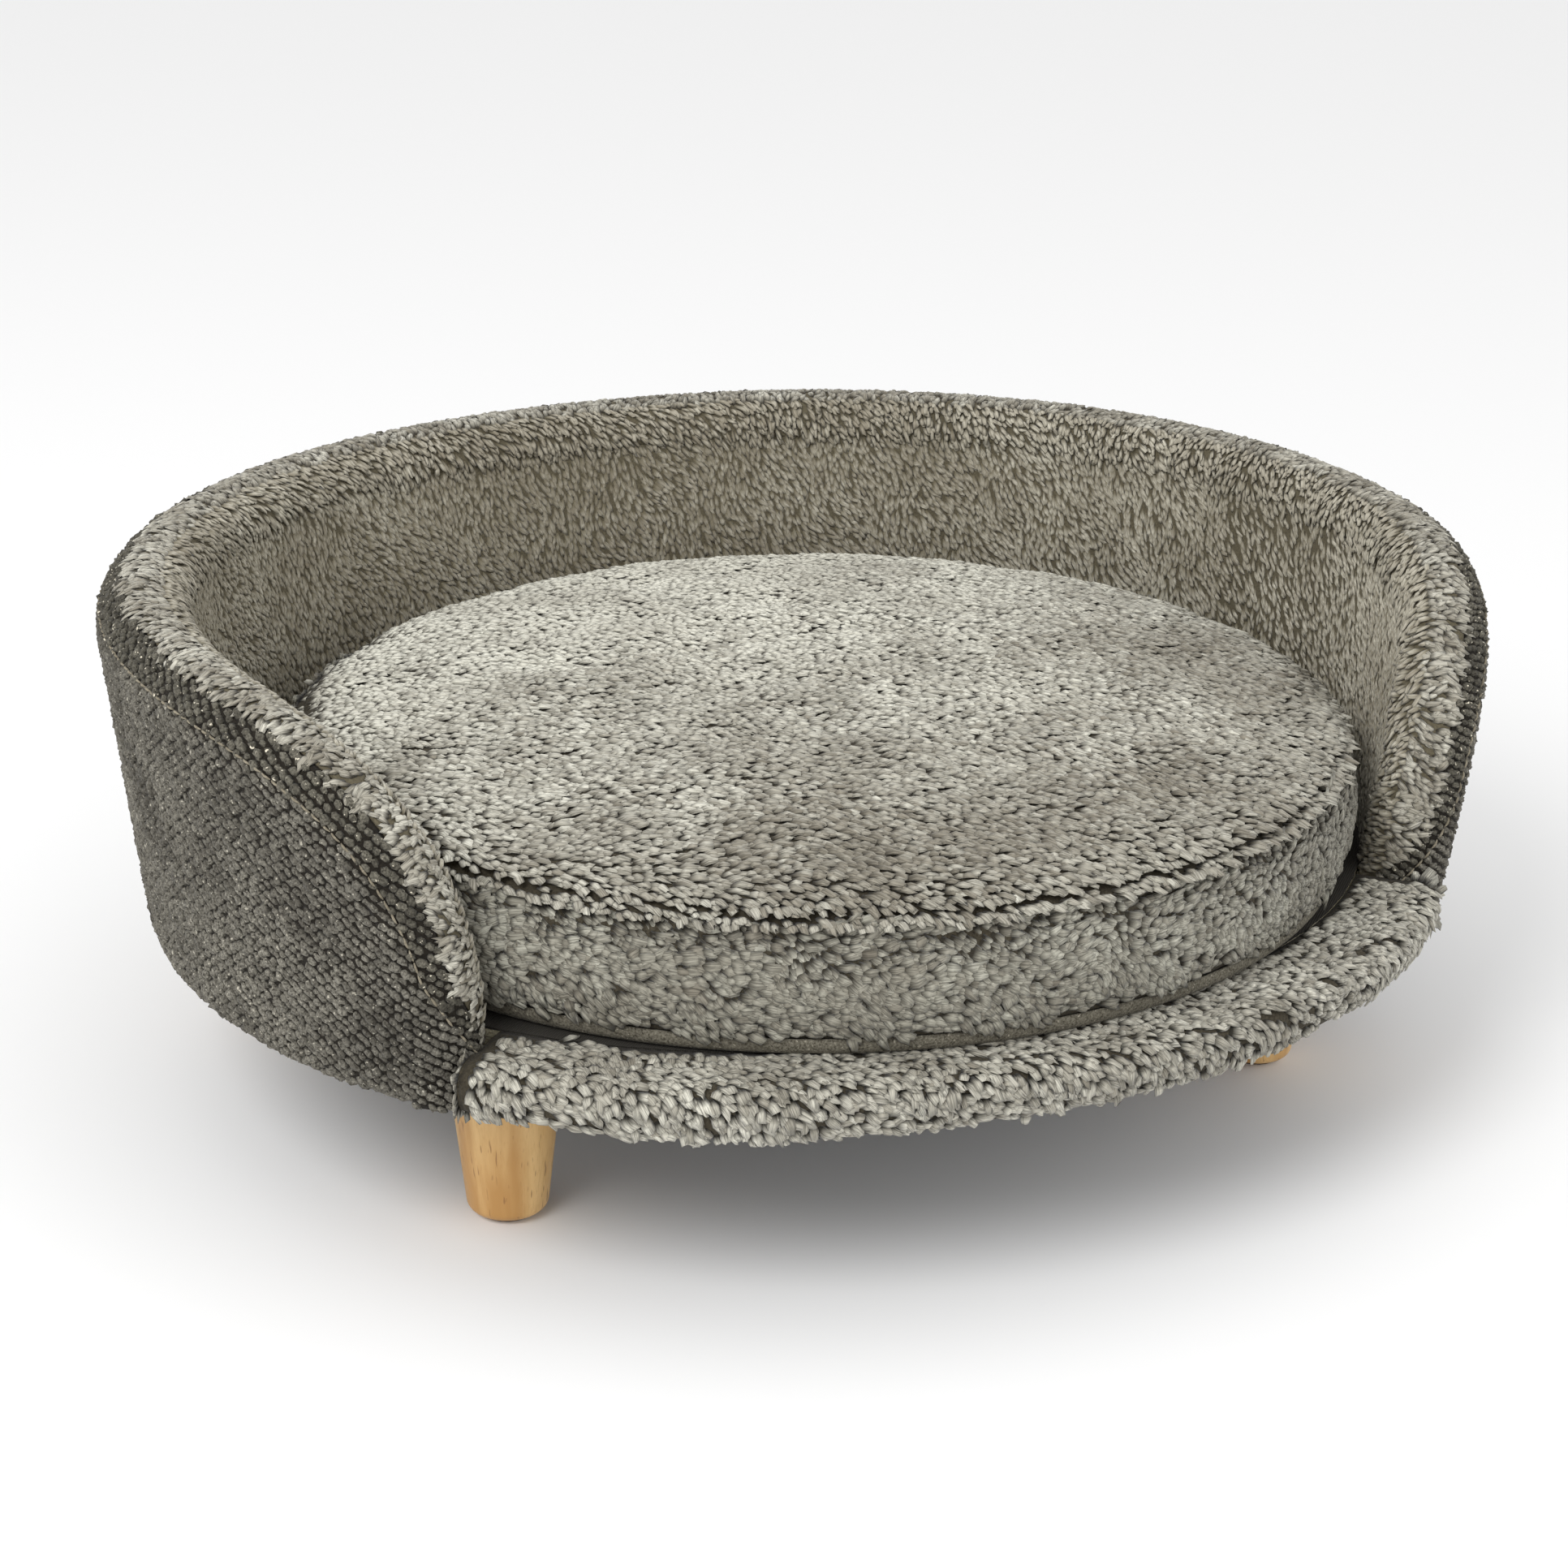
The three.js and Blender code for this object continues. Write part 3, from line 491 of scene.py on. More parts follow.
def meshObject(name, points, loops, starts, smooth=True):
    mesh = bpy.data.meshes.new(name)
    mesh.vertices.add(len(points))
    mesh.vertices.foreach_set("co", np.asarray(points, np.float32).ravel())
    mesh.loops.add(len(loops))
    mesh.loops.foreach_set("vertex_index", np.asarray(loops, np.int32))
    mesh.polygons.add(len(starts))
    mesh.polygons.foreach_set("loop_start", np.asarray(starts, np.int32))
    mesh.update(calc_edges=True)
    mesh.polygons.foreach_set("use_smooth", np.full(len(starts), smooth))
    thing = bpy.data.objects.new(name, mesh)
    bpy.context.scene.collection.objects.link(thing)
    return thing


def gridFaces(rows, columns, base=0, flip=False, wrap=False):
    i = np.arange(rows - 1)[:, None]
    j = np.arange(columns if wrap else columns - 1)[None, :]
    k = (j + 1) % columns
    a, b = i * columns + j, (i + 1) * columns + j
    c, d = (i + 1) * columns + k, i * columns + k
    quads = np.stack([a, b, c, d], -1).reshape(-1, 4)
    return (quads[:, ::-1] if flip else quads) + base


def shellFaces(rows, columns, base=0, wrap=False):
    # outer grid, inner grid and the rim between them
    size = rows * columns
    outer = gridFaces(rows, columns, base, False, wrap)
    inner = gridFaces(rows, columns, base + size, True, wrap)
    ring = []
    last = columns if wrap else columns - 1
    for row, turned in ((0, False), (rows - 1, True)):
        for j in range(last):
            a, b = base + row * columns + j, base + row * columns + (j + 1) % columns
            quad = [a, b, b + size, a + size]
            ring.append(quad[::-1] if turned else quad)
    if not wrap:
        for column, turned in ((0, True), (columns - 1, False)):
            for i in range(rows - 1):
                a, b = base + i * columns + column, base + (i + 1) * columns + column
                quad = [a, b, b + size, a + size]
                ring.append(quad[::-1] if turned else quad)
    return np.concatenate([outer, inner, np.array(ring)])


def shellObject(name, patches, thickness, material):
    # a sheet of cloth from grids of (points, outward normals), each a closed thin shell
    points, quads, base = [], [], 0
    for grid, normals, wrap in patches:
        rows, columns = grid.shape[:2]
        points += [grid.reshape(-1, 3), (grid - normals * thickness).reshape(-1, 3)]
        quads.append(shellFaces(rows, columns, base, wrap))
        base += 2 * rows * columns
    points, quads = np.concatenate(points), np.concatenate(quads)
    thing = meshObject(name, points, quads.ravel(), np.arange(len(quads)) * 4)
    edit = bmesh.new()
    edit.from_mesh(thing.data)
    bmesh.ops.remove_doubles(edit, verts=edit.verts, dist=1e-6)
    bmesh.ops.recalc_face_normals(edit, faces=edit.faces)
    edit.to_mesh(thing.data)
    edit.free()
    thing.data.materials.append(material)
    return thing


def waves(points, size, seed, count=7):
    # smooth field from -1 to 1 that changes over about this size
    rng = np.random.default_rng(seed)
    ways = unit(rng.normal(size=(count, 3))) * rng.uniform(0.6, 1.7, (count, 1)) * (2 * math.pi / size)
    phases = rng.uniform(0, 2 * math.pi, count)
    return np.tanh(np.sin(np.asarray(points) @ ways.T + phases).sum(-1) / math.sqrt(count / 2) * 0.8)


# Pile: every tuft is a small closed petal, laid along the nap


def scalePattern():
    # three rows of four corners over the top, a flat underside and two ends
    polygons, bake, strand = [], [], []
    level = (0.0, 0.55, 1.0)
    for row in range(2):
        for k in range(4):
            after = (k + 1) % 4
            ends = (k / 3, (k + 1) / 3) if k < 3 else (1.0, 0.0)
            polygons.append([4 * row + k, 4 * row + after, 4 * row + 4 + after, 4 * row + 4 + k])
            bake.append([(k, row), (k + 1, row), (k + 1, row + 1), (k, row + 1)])
            here, there = level[row], level[row + 1]
            strand.append([(ends[0], here), (ends[1], here), (ends[1], there), (ends[0], there)])
    polygons += [[3, 2, 1, 0], [8, 9, 10, 11]]
    bake += [[(4.1 + 0.25 * k, start + 0.4 * (k in (1, 2))) for k in range(4)] for start in (0.1, 1.1)]
    strand += [[(1 - k / 3, 0.0) for k in range(4)], [(k / 3, 1.0) for k in range(4)]]
    return polygons, bake, strand


scale = scalePattern()


def repeatPattern(name, points, perPiece, pattern, cellSize, material, shade):
    # one mesh of many copies of a small pattern, with a bake map that gives each copy its own cell
    polygons, bake, strand = pattern
    count = len(points) // perPiece
    loops = np.array([v for p in polygons for v in p])
    sizes = np.array([len(p) for p in polygons])
    starts = np.concatenate([[0], np.cumsum(sizes)[:-1]])
    allLoops = (loops[None, :] + perPiece * np.arange(count)[:, None]).ravel()
    allStarts = (starts[None, :] + len(loops) * np.arange(count)[:, None]).ravel()
    thing = meshObject(name, points, allLoops, allStarts)
    cells = math.ceil(math.sqrt(count))
    corner = np.array([c for p in bake for c in p], float) / np.array(cellSize)
    origin = np.stack([np.arange(count) % cells, np.arange(count) // cells], -1)
    spread = (origin[:, None, :] + 0.06 + 0.88 * corner[None]) / cells
    bakeMap = thing.data.uv_layers.new(name="OFBake")
    bakeMap.data.foreach_set("uv", spread.astype(np.float32).ravel())
    if strand is not None:
        strandMap = thing.data.uv_layers.new(name="strand")
        values = np.tile(np.array([c for p in strand for c in p], np.float32), (count, 1))
        strandMap.data.foreach_set("uv", values.ravel())
    attribute = thing.data.attributes.new("shade", "FLOAT", "POINT")
    attribute.data.foreach_set("value", np.repeat(shade, perPiece).astype(np.float32))
    thing.data.materials.append(material)
    return thing


def growPile(name, roots, normals, naps, look, material, toneAndPaintedShade=None):
    # roots and their directions are arrays; look holds sizes in metres and angles in degrees
    rng = np.random.default_rng(look["seed"])
    count = len(roots)
    swing = np.radians(look["swing"]) * waves(roots, look["swingSize"], look["seed"] + 1)
    turn = swing + np.radians(look["stray"]) * rng.normal(size=count)
    naps = unit(naps - normals * np.sum(naps * normals, -1, keepdims=True))
    sides = np.cross(normals, naps)
    naps = naps * np.cos(turn)[:, None] + sides * np.sin(turn)[:, None]
    sides = np.cross(normals, naps)
    length = look["length"] * (1 + look["spread"] * rng.uniform(-1, 1, count))
    width = look["width"] * (1 + 0.25 * rng.uniform(-1, 1, count))
    lift = look["lift"] * (1 + 0.35 * rng.uniform(-1, 1, count))
    curl = look["curl"] * rng.normal(size=count)
    rings = ((0.0, 0.7, 0.5), (0.55, 1.0, 1.0), (1.0, 0.84, 0.6))    # along, wide and thick, from root to tip
    corners = ((1, 0), (0.36, 1), (-0.36, 1), (-1, 0))               # aside and up
    points = np.empty((count, 12, 3))
    for ring, (along, wide, thick) in enumerate(rings):
        for k, (aside, rise) in enumerate(corners):
            reach = along * (1 + look["ragged"] * along ** 4 * rng.normal(size=count))
            up = length * lift * reach * (1 - look["droop"] * reach)
            up = up - look["sink"] * (1 - along) + width * look["thick"] * thick * rise
            out = length * curl * reach ** 2 + width * wide / 2 * aside
            place = roots + naps * (length * reach)[:, None] + normals * up[:, None]
            points[:, 4 * ring + k] = place + sides * out[:, None]
    # tone is each tuft's base mix towards the patch colour; callers add painted shade and painted light to it
    toneAndPaintedShade = 0.42 if toneAndPaintedShade is None else toneAndPaintedShade
    patches = look["mottle"] * waves(roots, look["mottleSize"], look["seed"] + 2)
    shade = np.clip(toneAndPaintedShade + patches + 0.16 * rng.normal(size=count), 0, 1)
    return repeatPattern(name, points.reshape(-1, 3), 12, scale, (5.2, 2), material, shade)


def scatter(grid, pitchAlong, pitchAcross, seed, jitter=0.42):
    # jittered places on a grid of points: rows lie across, columns run along. Gives fractions and keeps an even density
    rng = np.random.default_rng(seed)
    along = np.linalg.norm(np.diff(grid, axis=1), axis=-1)
    across = np.linalg.norm(np.diff(grid, axis=0), axis=-1)
    longest = along.sum(1).max()
    tallest = across.sum(0).max()
    nAlong, nAcross = max(2, int(longest / pitchAlong)), max(1, int(tallest / pitchAcross))
    j, i = np.meshgrid(np.arange(nAlong) + 0.5, np.arange(nAcross) + 0.5)
    j = j + 0.5 * (i.astype(int) % 2) - 0.25
    j = (j + rng.uniform(-jitter, jitter, j.shape)).ravel() / nAlong
    i = (i + rng.uniform(-jitter, jitter, i.shape)).ravel() / nAcross
    j, i = np.clip(j, 0, 0.99999), np.clip(i, 0, 0.99999)
    row, column = i * (grid.shape[0] - 1), j * (grid.shape[1] - 1)
    r, c = row.astype(int), column.astype(int)
    fr, fc = (row - r)[:, None], (column - c)[:, None]
    a, b, d, e = grid[r, c], grid[r, c + 1], grid[r + 1, c], grid[r + 1, c + 1]
    size = np.linalg.norm(np.cross(b - a, d - a), axis=-1)
    full = longest / (grid.shape[1] - 1) * tallest / (grid.shape[0] - 1)
    keep = rng.uniform(0, 1, len(size)) < size / full
    points = a * (1 - fr) * (1 - fc) + b * (1 - fr) * fc + d * fr * (1 - fc) + e * fr * fc
    downWay = unit((d - a) * (1 - fc) + (e - b) * fc)
    alongWay = unit((b - a) * (1 - fr) + (e - d) * fr)
    normals = unit(np.cross(alongWay, downWay))
    return points[keep], normals[keep], alongWay[keep], downWay[keep], i[keep], j[keep]


# The woven outer cover

weave = {
    "knotAlong": 0.0078,
    "knotAcross": 0.0026,
    "knotSize": (0.0066, 0.0039, 0.0018),
    "bandSize": (0.0060, 0.0042, 0.0019),
    "loose": 14,              # degrees that the knots of the band lie out of line
    "rough": 0.00034,
    "tilt": -34,
    "stitchDown": (0.0105, 0.0165),     # topstitch below the rim seam, by the feet and up on the wall
    "stitchLength": 0.0055,
    "stitchWidth": 0.0012,
}


def stitchDown(z):
    near, far = weave["stitchDown"]
    return near + (far - near) * np.clip((np.asarray(z) - 0.13) / 0.1, 0, 1)


def faceColumns(turns, inner, lowest):
    # a column of points for each turn, from the roll down to a height, on one side of the wall
    top = edgeHeights(turns)
    share = np.linspace(0, 1, 30)[:, None]
    z = top[None, :] * (1 - share) + lowest * share
    return wallPoint(turns[None, :], z, inner)


def edgeHeights(turns):
    away = np.where(turns > math.pi, 2 * math.pi - turns, turns)
    part = np.clip((np.degrees(away) - wall["mouth"]) / wall["sweep"], 0, 1)
    rise = (1 - (1 - part) ** wall["sweepRise"]) ** (1 / wall["sweepSwell"])
    return legTop + (wall["height"] - rollRadius - legTop) * rise


ribTurns = np.concatenate([
    2 * math.pi - (math.radians(wall["mouth"]) + math.radians(wall["sweep"]) * np.linspace(1 / 6, 1, 60) ** 3),
    np.linspace(2 * math.pi - math.radians(wall["mouth"] + wall["sweep"]),
                math.radians(wall["mouth"] + wall["sweep"]), 150)[1:-1],
    math.radians(wall["mouth"]) + math.radians(wall["sweep"]) * np.linspace(1, 1 / 6, 60) ** 3,
])


def lowerEdge(shrink=0.0):
    # section under the base as (out, z) and its outward direction: tuck, then the round edge
    centre = (rollRadius - wall["lowerRound"], coverBottom + wall["lowerRound"])
    angles = np.linspace(0, -math.pi / 2, 7)
    radius = wall["lowerRound"] - shrink
    points = [(centre[0] + radius * math.cos(a), centre[1] + radius * math.sin(a)) for a in angles]
    ways = [(math.cos(a), math.sin(a)) for a in angles]
    return points + [(rollRadius - wall["tuck"], coverBottom + shrink)], ways + [(0.0, -1.0)]


def gridNormals(grid, flip=False):
    normals = unit(np.cross(np.gradient(grid, axis=1), np.gradient(grid, axis=0)))
    return -normals if flip else normals


def outerPatches():
    angles = np.linspace(1, 0, 14)[:, None] * seamAt(edge["z"])[None]
    rollGrid, rollWays = rollPoint({k: v[None] for k, v in edge.items()}, angles, rollRadius)
    section, ways = lowerEdge()
    face = faceColumns(ribTurns, rollRadius, section[0][1])
    low = np.stack([wallPoint(ribTurns, z, out) for out, z in section[1:]])
    faceGrid = np.concatenate([face, low])
    faceNormals = np.repeat(outwardAt(ribTurns)[None], len(face), axis=0)
    lowNormals = np.stack([outwardAt(ribTurns) * c + np.array([0, 0, s]) for c, s in ways[1:]])
    return [(rollGrid, rollWays, False), (faceGrid, np.concatenate([faceNormals, lowNormals]), False)]


def knotPattern():
    # a low dome with six sides: corners 0-5 at the foot, 6-11 half way, 12 on top
    polygons = [[i, (i + 1) % 6, 6 + (i + 1) % 6, 6 + i] for i in range(6)]
    polygons += [[6 + i, 6 + (i + 1) % 6, 12] for i in range(6)] + [[5, 4, 3, 2, 1, 0]]
    spots = [(0.5 + 0.5 * r * math.cos(math.pi / 3 * i), 0.5 + 0.5 * r * math.sin(math.pi / 3 * i))
             for r in (1.0, 0.6) for i in range(6)] + [(0.5, 0.5)]
    foot = [(0.0, 0.0), (0.02, 0), (0.04, 0), (0.04, 0.02), (0.02, 0.03), (0, 0.02)]
    bake = [[spots[v] for v in p] for p in polygons[:-1]] + [foot]
    return polygons, bake, None


def knots(name, places, normals, along, size, loose, material, seed):
    rng = np.random.default_rng(seed)
    count = len(places)
    length, width, height = size
    turn = np.radians(weave["tilt"]) + np.radians(loose) * rng.normal(size=count)
    across = np.cross(normals, along)
    way = along * np.cos(turn)[:, None] + across * np.sin(turn)[:, None]
    side = np.cross(normals, way)
    grow = 1 + 0.2 * rng.uniform(-1, 1, (count, 1))
    places = places + normals * (0.0005 * rng.uniform(-1, 1, (count, 1))) + way * (0.0005 * rng.normal(size=(count, 1)))
    points = np.empty((count, 13, 3))
    for i in range(6):
        c, s = math.cos(math.pi / 3 * i), math.sin(math.pi / 3 * i)
        for ring, reach, rise in ((0, 1.0, -0.25), (6, 0.74, 0.62)):
            spread = grow * (way * c * length / 2 + side * s * width / 2) * reach
            points[:, ring + i] = places + spread + normals * height * rise
    points[:, 12] = places + normals * height
    points[:, 6:] += weave["rough"] * rng.normal(size=(count, 7, 3))
    shade = np.clip(0.5 + 0.3 * waves(places, 0.06, seed + 1) + 0.25 * rng.normal(size=count), 0, 1)
    return repeatPattern(name, points.reshape(-1, 3), 13, knotPattern(), (1, 1), material, shade)


def runAlong(points):
    # distance along a line of points, counted from its middle
    run = np.concatenate([[0], np.cumsum(np.linalg.norm(np.diff(points, axis=0), axis=1))])
    return run - run[-1] / 2


def alongRow(points, normals, pitch, offset, use=None, run=None):
    run = runAlong(points) if run is None else run
    at = (np.arange(math.ceil(run[0] / pitch - offset), math.floor(run[-1] / pitch - offset) + 1) + offset) * pitch
    if use is not None:
        at = at[np.interp(at, run, use.astype(float)) > 0.5]
    pick = lambda values: np.stack([np.interp(at, run, values[:, i]) for i in range(3)], -1)
    return pick(points), unit(pick(normals)), unit(pick(np.gradient(points, axis=0)))


measureTurns = np.linspace(2 * math.pi - footTurn, footTurn, 1200)
measureRun = runAlong(wallPoint(measureTurns, wall["height"] * 0.6, rollRadius))


def faceRows(pitch):
    # rows along the wall's face at even heights
    rows = []
    heights = np.arange(coverBottom + wall["lowerRound"], wall["height"] - rollRadius, pitch)
    for z in heights:
        start = startTurn(z)
        turns = np.linspace(2 * math.pi - start, start, 900)
        rows.append((wallPoint(turns, z, rollRadius), unit(outwardAt(turns) + np.array([0, 0, -0.13])), turns))
    return rows


def rollKnots():
    # the face's lattice of knots carried on over the edge roll, which is laid out flat to find each knot's place
    at = np.linspace(0, len(edge["turn"]) - 1, 6 * len(edge["turn"]))
    index = np.arange(len(edge["turn"]))
    fine = {k: np.interp(at, index, edge[k]) for k in ("turn", "z")}
    for k in ("core", "out", "up"):
        fine[k] = np.stack([np.interp(at, index, edge[k][:, i]) for i in range(3)], -1)
    tangent = unit(np.gradient(fine["core"], axis=0))
    level = np.cross(fine["out"], np.array([0, 0, 1.0]))
    level *= np.sign(np.sum(level[len(at) // 2] * tangent[len(at) // 2]))
    seam = seamAt(fine["z"]) - 0.0012 / rollRadius
    angle = np.linspace(0.01, 1, 110)[:, None] * seam[None]
    upLevel, tangentLevel = np.sum(fine["up"] * level, -1), np.sum(tangent * level, -1)
    flatAlong = np.interp(-fine["turn"], -measureTurns, measureRun) + rollRadius * angle * upLevel
    flatUp = fine["z"] + rollRadius * angle * fine["up"][:, 2] - coverBottom - wall["lowerRound"]
    row = np.round(flatUp / weave["knotAcross"])
    column = np.round(flatAlong / weave["knotAlong"] - 0.5 * (row % 2))
    missAlong = flatAlong - (column + 0.5 * (row % 2)) * weave["knotAlong"]
    miss = np.hypot(flatUp - row * weave["knotAcross"], missAlong).ravel()
    order = np.lexsort((miss, (row * 4096 + column).ravel()))
    keys = (row * 4096 + column).ravel()[order]
    first = np.concatenate([[True], keys[1:] != keys[:-1]]) & (miss[order] < 0.0013)
    chosen = order[first]
    i, j = chosen // len(at), chosen % len(at)
    turned = angle[i, j][:, None]
    out, up = fine["out"][j], fine["up"][j]
    ways = np.cos(turned) * out + np.sin(turned) * up
    aroundWay = np.cos(turned) * up - np.sin(turned) * out
    along = unit(tangent[j] * tangentLevel[j][:, None] + aroundWay * upLevel[j][:, None])
    down = (seam[j] - turned[:, 0]) * rollRadius
    return fine["core"][j] + ways * rollRadius, ways, along, down < stitchDown(fine["z"][j]) - 0.0004


def weaveCover():
    rows = faceRows(weave["knotAcross"])
    faces = len(rows)
    start = footTurn
    turns = np.linspace(2 * math.pi - start, start, 900)
    arc = wall["lowerRound"] * math.pi / 2
    for step in np.arange(weave["knotAcross"], arc + 0.012, weave["knotAcross"]):
        angle = -min(step, arc) / wall["lowerRound"]
        out = rollRadius - wall["lowerRound"] * (1 - math.cos(angle)) - max(step - arc, 0)
        z = coverBottom + wall["lowerRound"] * (1 + math.sin(angle))
        way = outwardAt(turns) * math.cos(angle) + np.array([0, 0, math.sin(angle)])
        rows.append((wallPoint(turns, z, out), way, turns))
    made = {"face": [], "band": []}
    for k, (line, ways, turns) in enumerate(rows):
        level = k if k < faces else faces - 1 - k
        run = np.interp(-turns, -measureTurns, measureRun)
        made["face"].append(alongRow(line, ways, weave["knotAlong"], 0.5 * (level % 2), run=run))
    places, ways, along, banded = rollKnots()
    for part, chosen in (("face", ~banded), ("band", banded)):
        made[part].append((places[chosen], ways[chosen], along[chosen]))
    pieces = []
    for part, material in (("face", "coverYarn"), ("band", "bandYarn")):
        places, normals, along = (np.concatenate([row[i] for row in made[part]]) for i in range(3))
        if part == "band":
            pieces.append(knots("rimBandWeave", places, normals, along, weave["bandSize"], weave["loose"],
                                materials[material], 21))
            continue
        for half, name in ((places[:, 0] < 0, "coverWeaveLeft"), (places[:, 0] >= 0, "coverWeaveRight")):
            pieces.append(knots(name, places[half], normals[half], along[half], weave["knotSize"], 7,
                                materials[material], 22))
    return pieces


def threadLine(name, line, ways, length, width, gap, material, seed):
    # a row of short stitches that dip into the cloth at their ends
    places, normals, along = alongRow(line, ways, length + gap, 0.5)
    across = np.cross(normals, along)
    count = len(places)
    rings = 5
    points = np.empty((count, rings * 6, 3))
    for r, t in enumerate(np.linspace(-1, 1, rings)):
        radius = width / 2 * (1 - 0.55 * t * t)
        for i in range(6):
            c, s = math.cos(math.pi / 3 * i), math.sin(math.pi / 3 * i)
            height = width * (0.45 - 0.7 * t * t) + 0.0009 + radius * s
            points[:, 6 * r + i] = (places + along * (t * length / 2) + normals * height + across * radius * c)
    polygons = [[6 * r + i, 6 * r + 6 + i, 6 * r + 6 + (i + 1) % 6, 6 * r + (i + 1) % 6]
                for r in range(rings - 1) for i in range(6)]
    bake = [[(i, r), (i, r + 1), (i + 1, r + 1), (i + 1, r)] for r in range(rings - 1) for i in range(6)]
    polygons += [[0, 1, 2, 3, 4, 5], [6 * rings - 1 - i for i in range(6)]]
    bake += [[(6.1 + 0.1 * math.cos(i), e + 0.5 + 0.3 * math.sin(i)) for i in range(6)] for e in (0, 2)]
    shade = np.random.default_rng(seed).uniform(0, 1, count)
    return repeatPattern(name, points.reshape(-1, 3), 6 * rings, (polygons, bake, None), (7, 4), material, shade)


# painted shade: the cover's sheet under the knots is near black, for the shadow in the gaps between them
outerCover = shellObject("outerCover", outerPatches(), wall["coverThickness"], materials["backing"])
coverWeave = weaveCover()
stitchLine, stitchWays = rollPoint(edge, seamAt(edge["z"]) - stitchDown(edge["z"]) / rollRadius, rollRadius)
topstitch = threadLine("rimTopstitch", stitchLine, stitchWays, weave["stitchLength"], weave["stitchWidth"], 0.0006,
                       materials["stitch"], 31)
print("outer cover woven")

# The plush lining of the wall and its rolled rim

liningLook = {
    "wall": {"length": 0.0070, "width": 0.0028, "spread": 0.3, "lift": 0.34, "droop": 0.75, "thick": 0.26,
             "curl": 0.08, "sink": 0.0004, "swing": 20, "swingSize": 0.06, "stray": 10, "seed": 41, "ragged": 0.12,
             "pitch": 0.0031, "mottle": 0.14, "mottleSize": 0.09},
    "rim": {"length": 0.0074, "width": 0.0034, "spread": 0.25, "lift": 0.36, "droop": 1.2, "thick": 0.26,
            "curl": 0.13, "sink": 0.0004, "swing": 34, "swingSize": 0.03, "stray": 17, "seed": 51, "ragged": 0.15,
            "pitch": 0.0029, "mottle": 0.18, "mottleSize": 0.03},
    "slant": 28,              # degrees that the wall's nap runs aside from straight down
    "parting": 128,           # degrees round the roll where the nap turns from outwards to inwards
}


def liningPatches():
    stations = edgeStations(liningBottom, wall["stationGap"])
    start = seamAt(stations["z"]) + wall["seamGap"] / rollRadius
    angles = start + (math.pi - start) * np.linspace(0, 1, 24)[:, None]
    rollGrid, rollWays = rollPoint({k: v[None] for k, v in stations.items()}, angles, rollRadius)
    face = faceColumns(ribTurns, -rollRadius, liningBottom)
    inward = np.repeat(-outwardAt(ribTurns)[None], len(face), axis=0)
    return [(rollGrid, rollWays, False), (face, inward, False)], stations


liningGrids, liningStations = liningPatches()
# painted shade: the lining's sheet under its tufts takes the pile's root colour, for the shade between them
wallLining = shellObject("wallLining", liningGrids, wall["coverThickness"], materials["wallBacking"])


def liningPile():
    pieces = []
    look = liningLook["rim"]
    parting = math.radians(liningLook["parting"])
    start = np.minimum(seamAt(edge["z"]) + wall["seamGap"] / rollRadius + 0.11, parting)
    angles = start + (parting - start) * np.linspace(0, 1, 16)[:, None]
    grid, _ = rollPoint({k: v[None] for k, v in edge.items()}, angles, rollRadius)
    points, normals, along, down, i, j = scatter(grid, look["pitch"], look["pitch"], 52)
    last = len(edge["turn"]) - 1
    middle = np.stack([np.interp(j * last, np.arange(last + 1), edge["core"][:, k]) for k in range(3)], -1)
    normals = unit(points - middle)
    naps = -down + 0.25 * along
    rightHalf = points[:, 0] >= 0
    for side, name in ((~rightHalf, "rimPileLeft"), (rightHalf, "rimPileRight")):
        pieces.append(growPile(name, points[side], normals[side], naps[side], look, materials["rimPlush"]))
    look = liningLook["wall"]
    count = len(liningStations["turn"])
    start = np.maximum(seamAt(liningStations["z"]) + 0.1, parting - 0.35)
    angles = start + (math.pi - start) * np.linspace(0, 1, 14)[:, None]
    grid, _ = rollPoint({k: v[None] for k, v in liningStations.items()}, angles, rollRadius)
    points, normals, along, down, i, j = scatter(grid, look["pitch"], look["pitch"], 42)
    middle = np.stack([np.interp(j * (count - 1), np.arange(count), liningStations["core"][:, k])
                       for k in range(3)], -1)
    normals = unit(points - middle)
    face = faceColumns(ribTurns, -rollRadius, deckTop + 0.001)
    facePoints, _, faceAlong, faceDown, i, j = scatter(face, look["pitch"], look["pitch"], 43)
    turns = np.interp(j * (len(ribTurns) - 1), np.arange(len(ribTurns)), ribTurns)
    faceNormals = -outwardAt(turns)
    points, normals = np.concatenate([points, facePoints]), np.concatenate([normals, faceNormals])
    along, down = np.concatenate([along, faceAlong]), np.concatenate([down, faceDown])
    slant = math.radians(liningLook["slant"])
    naps = down * math.cos(slant) + along * math.sin(slant)
    rightHalf = points[:, 0] >= 0
    for side, name in ((~rightHalf, "wallPileLeft"), (rightHalf, "wallPileRight")):
        toneAndPaintedShade = 0.56 - 0.34 * (points[side, 0] / 0.3) ** 2        # painted light and shade: the wall is coloured lighter at its two sides and darker at the back, for the light its nap catches
        pieces.append(growPile(name, points[side], normals[side], naps[side], look, materials["wallPlush"], toneAndPaintedShade))
    return pieces


wallPile = liningPile()


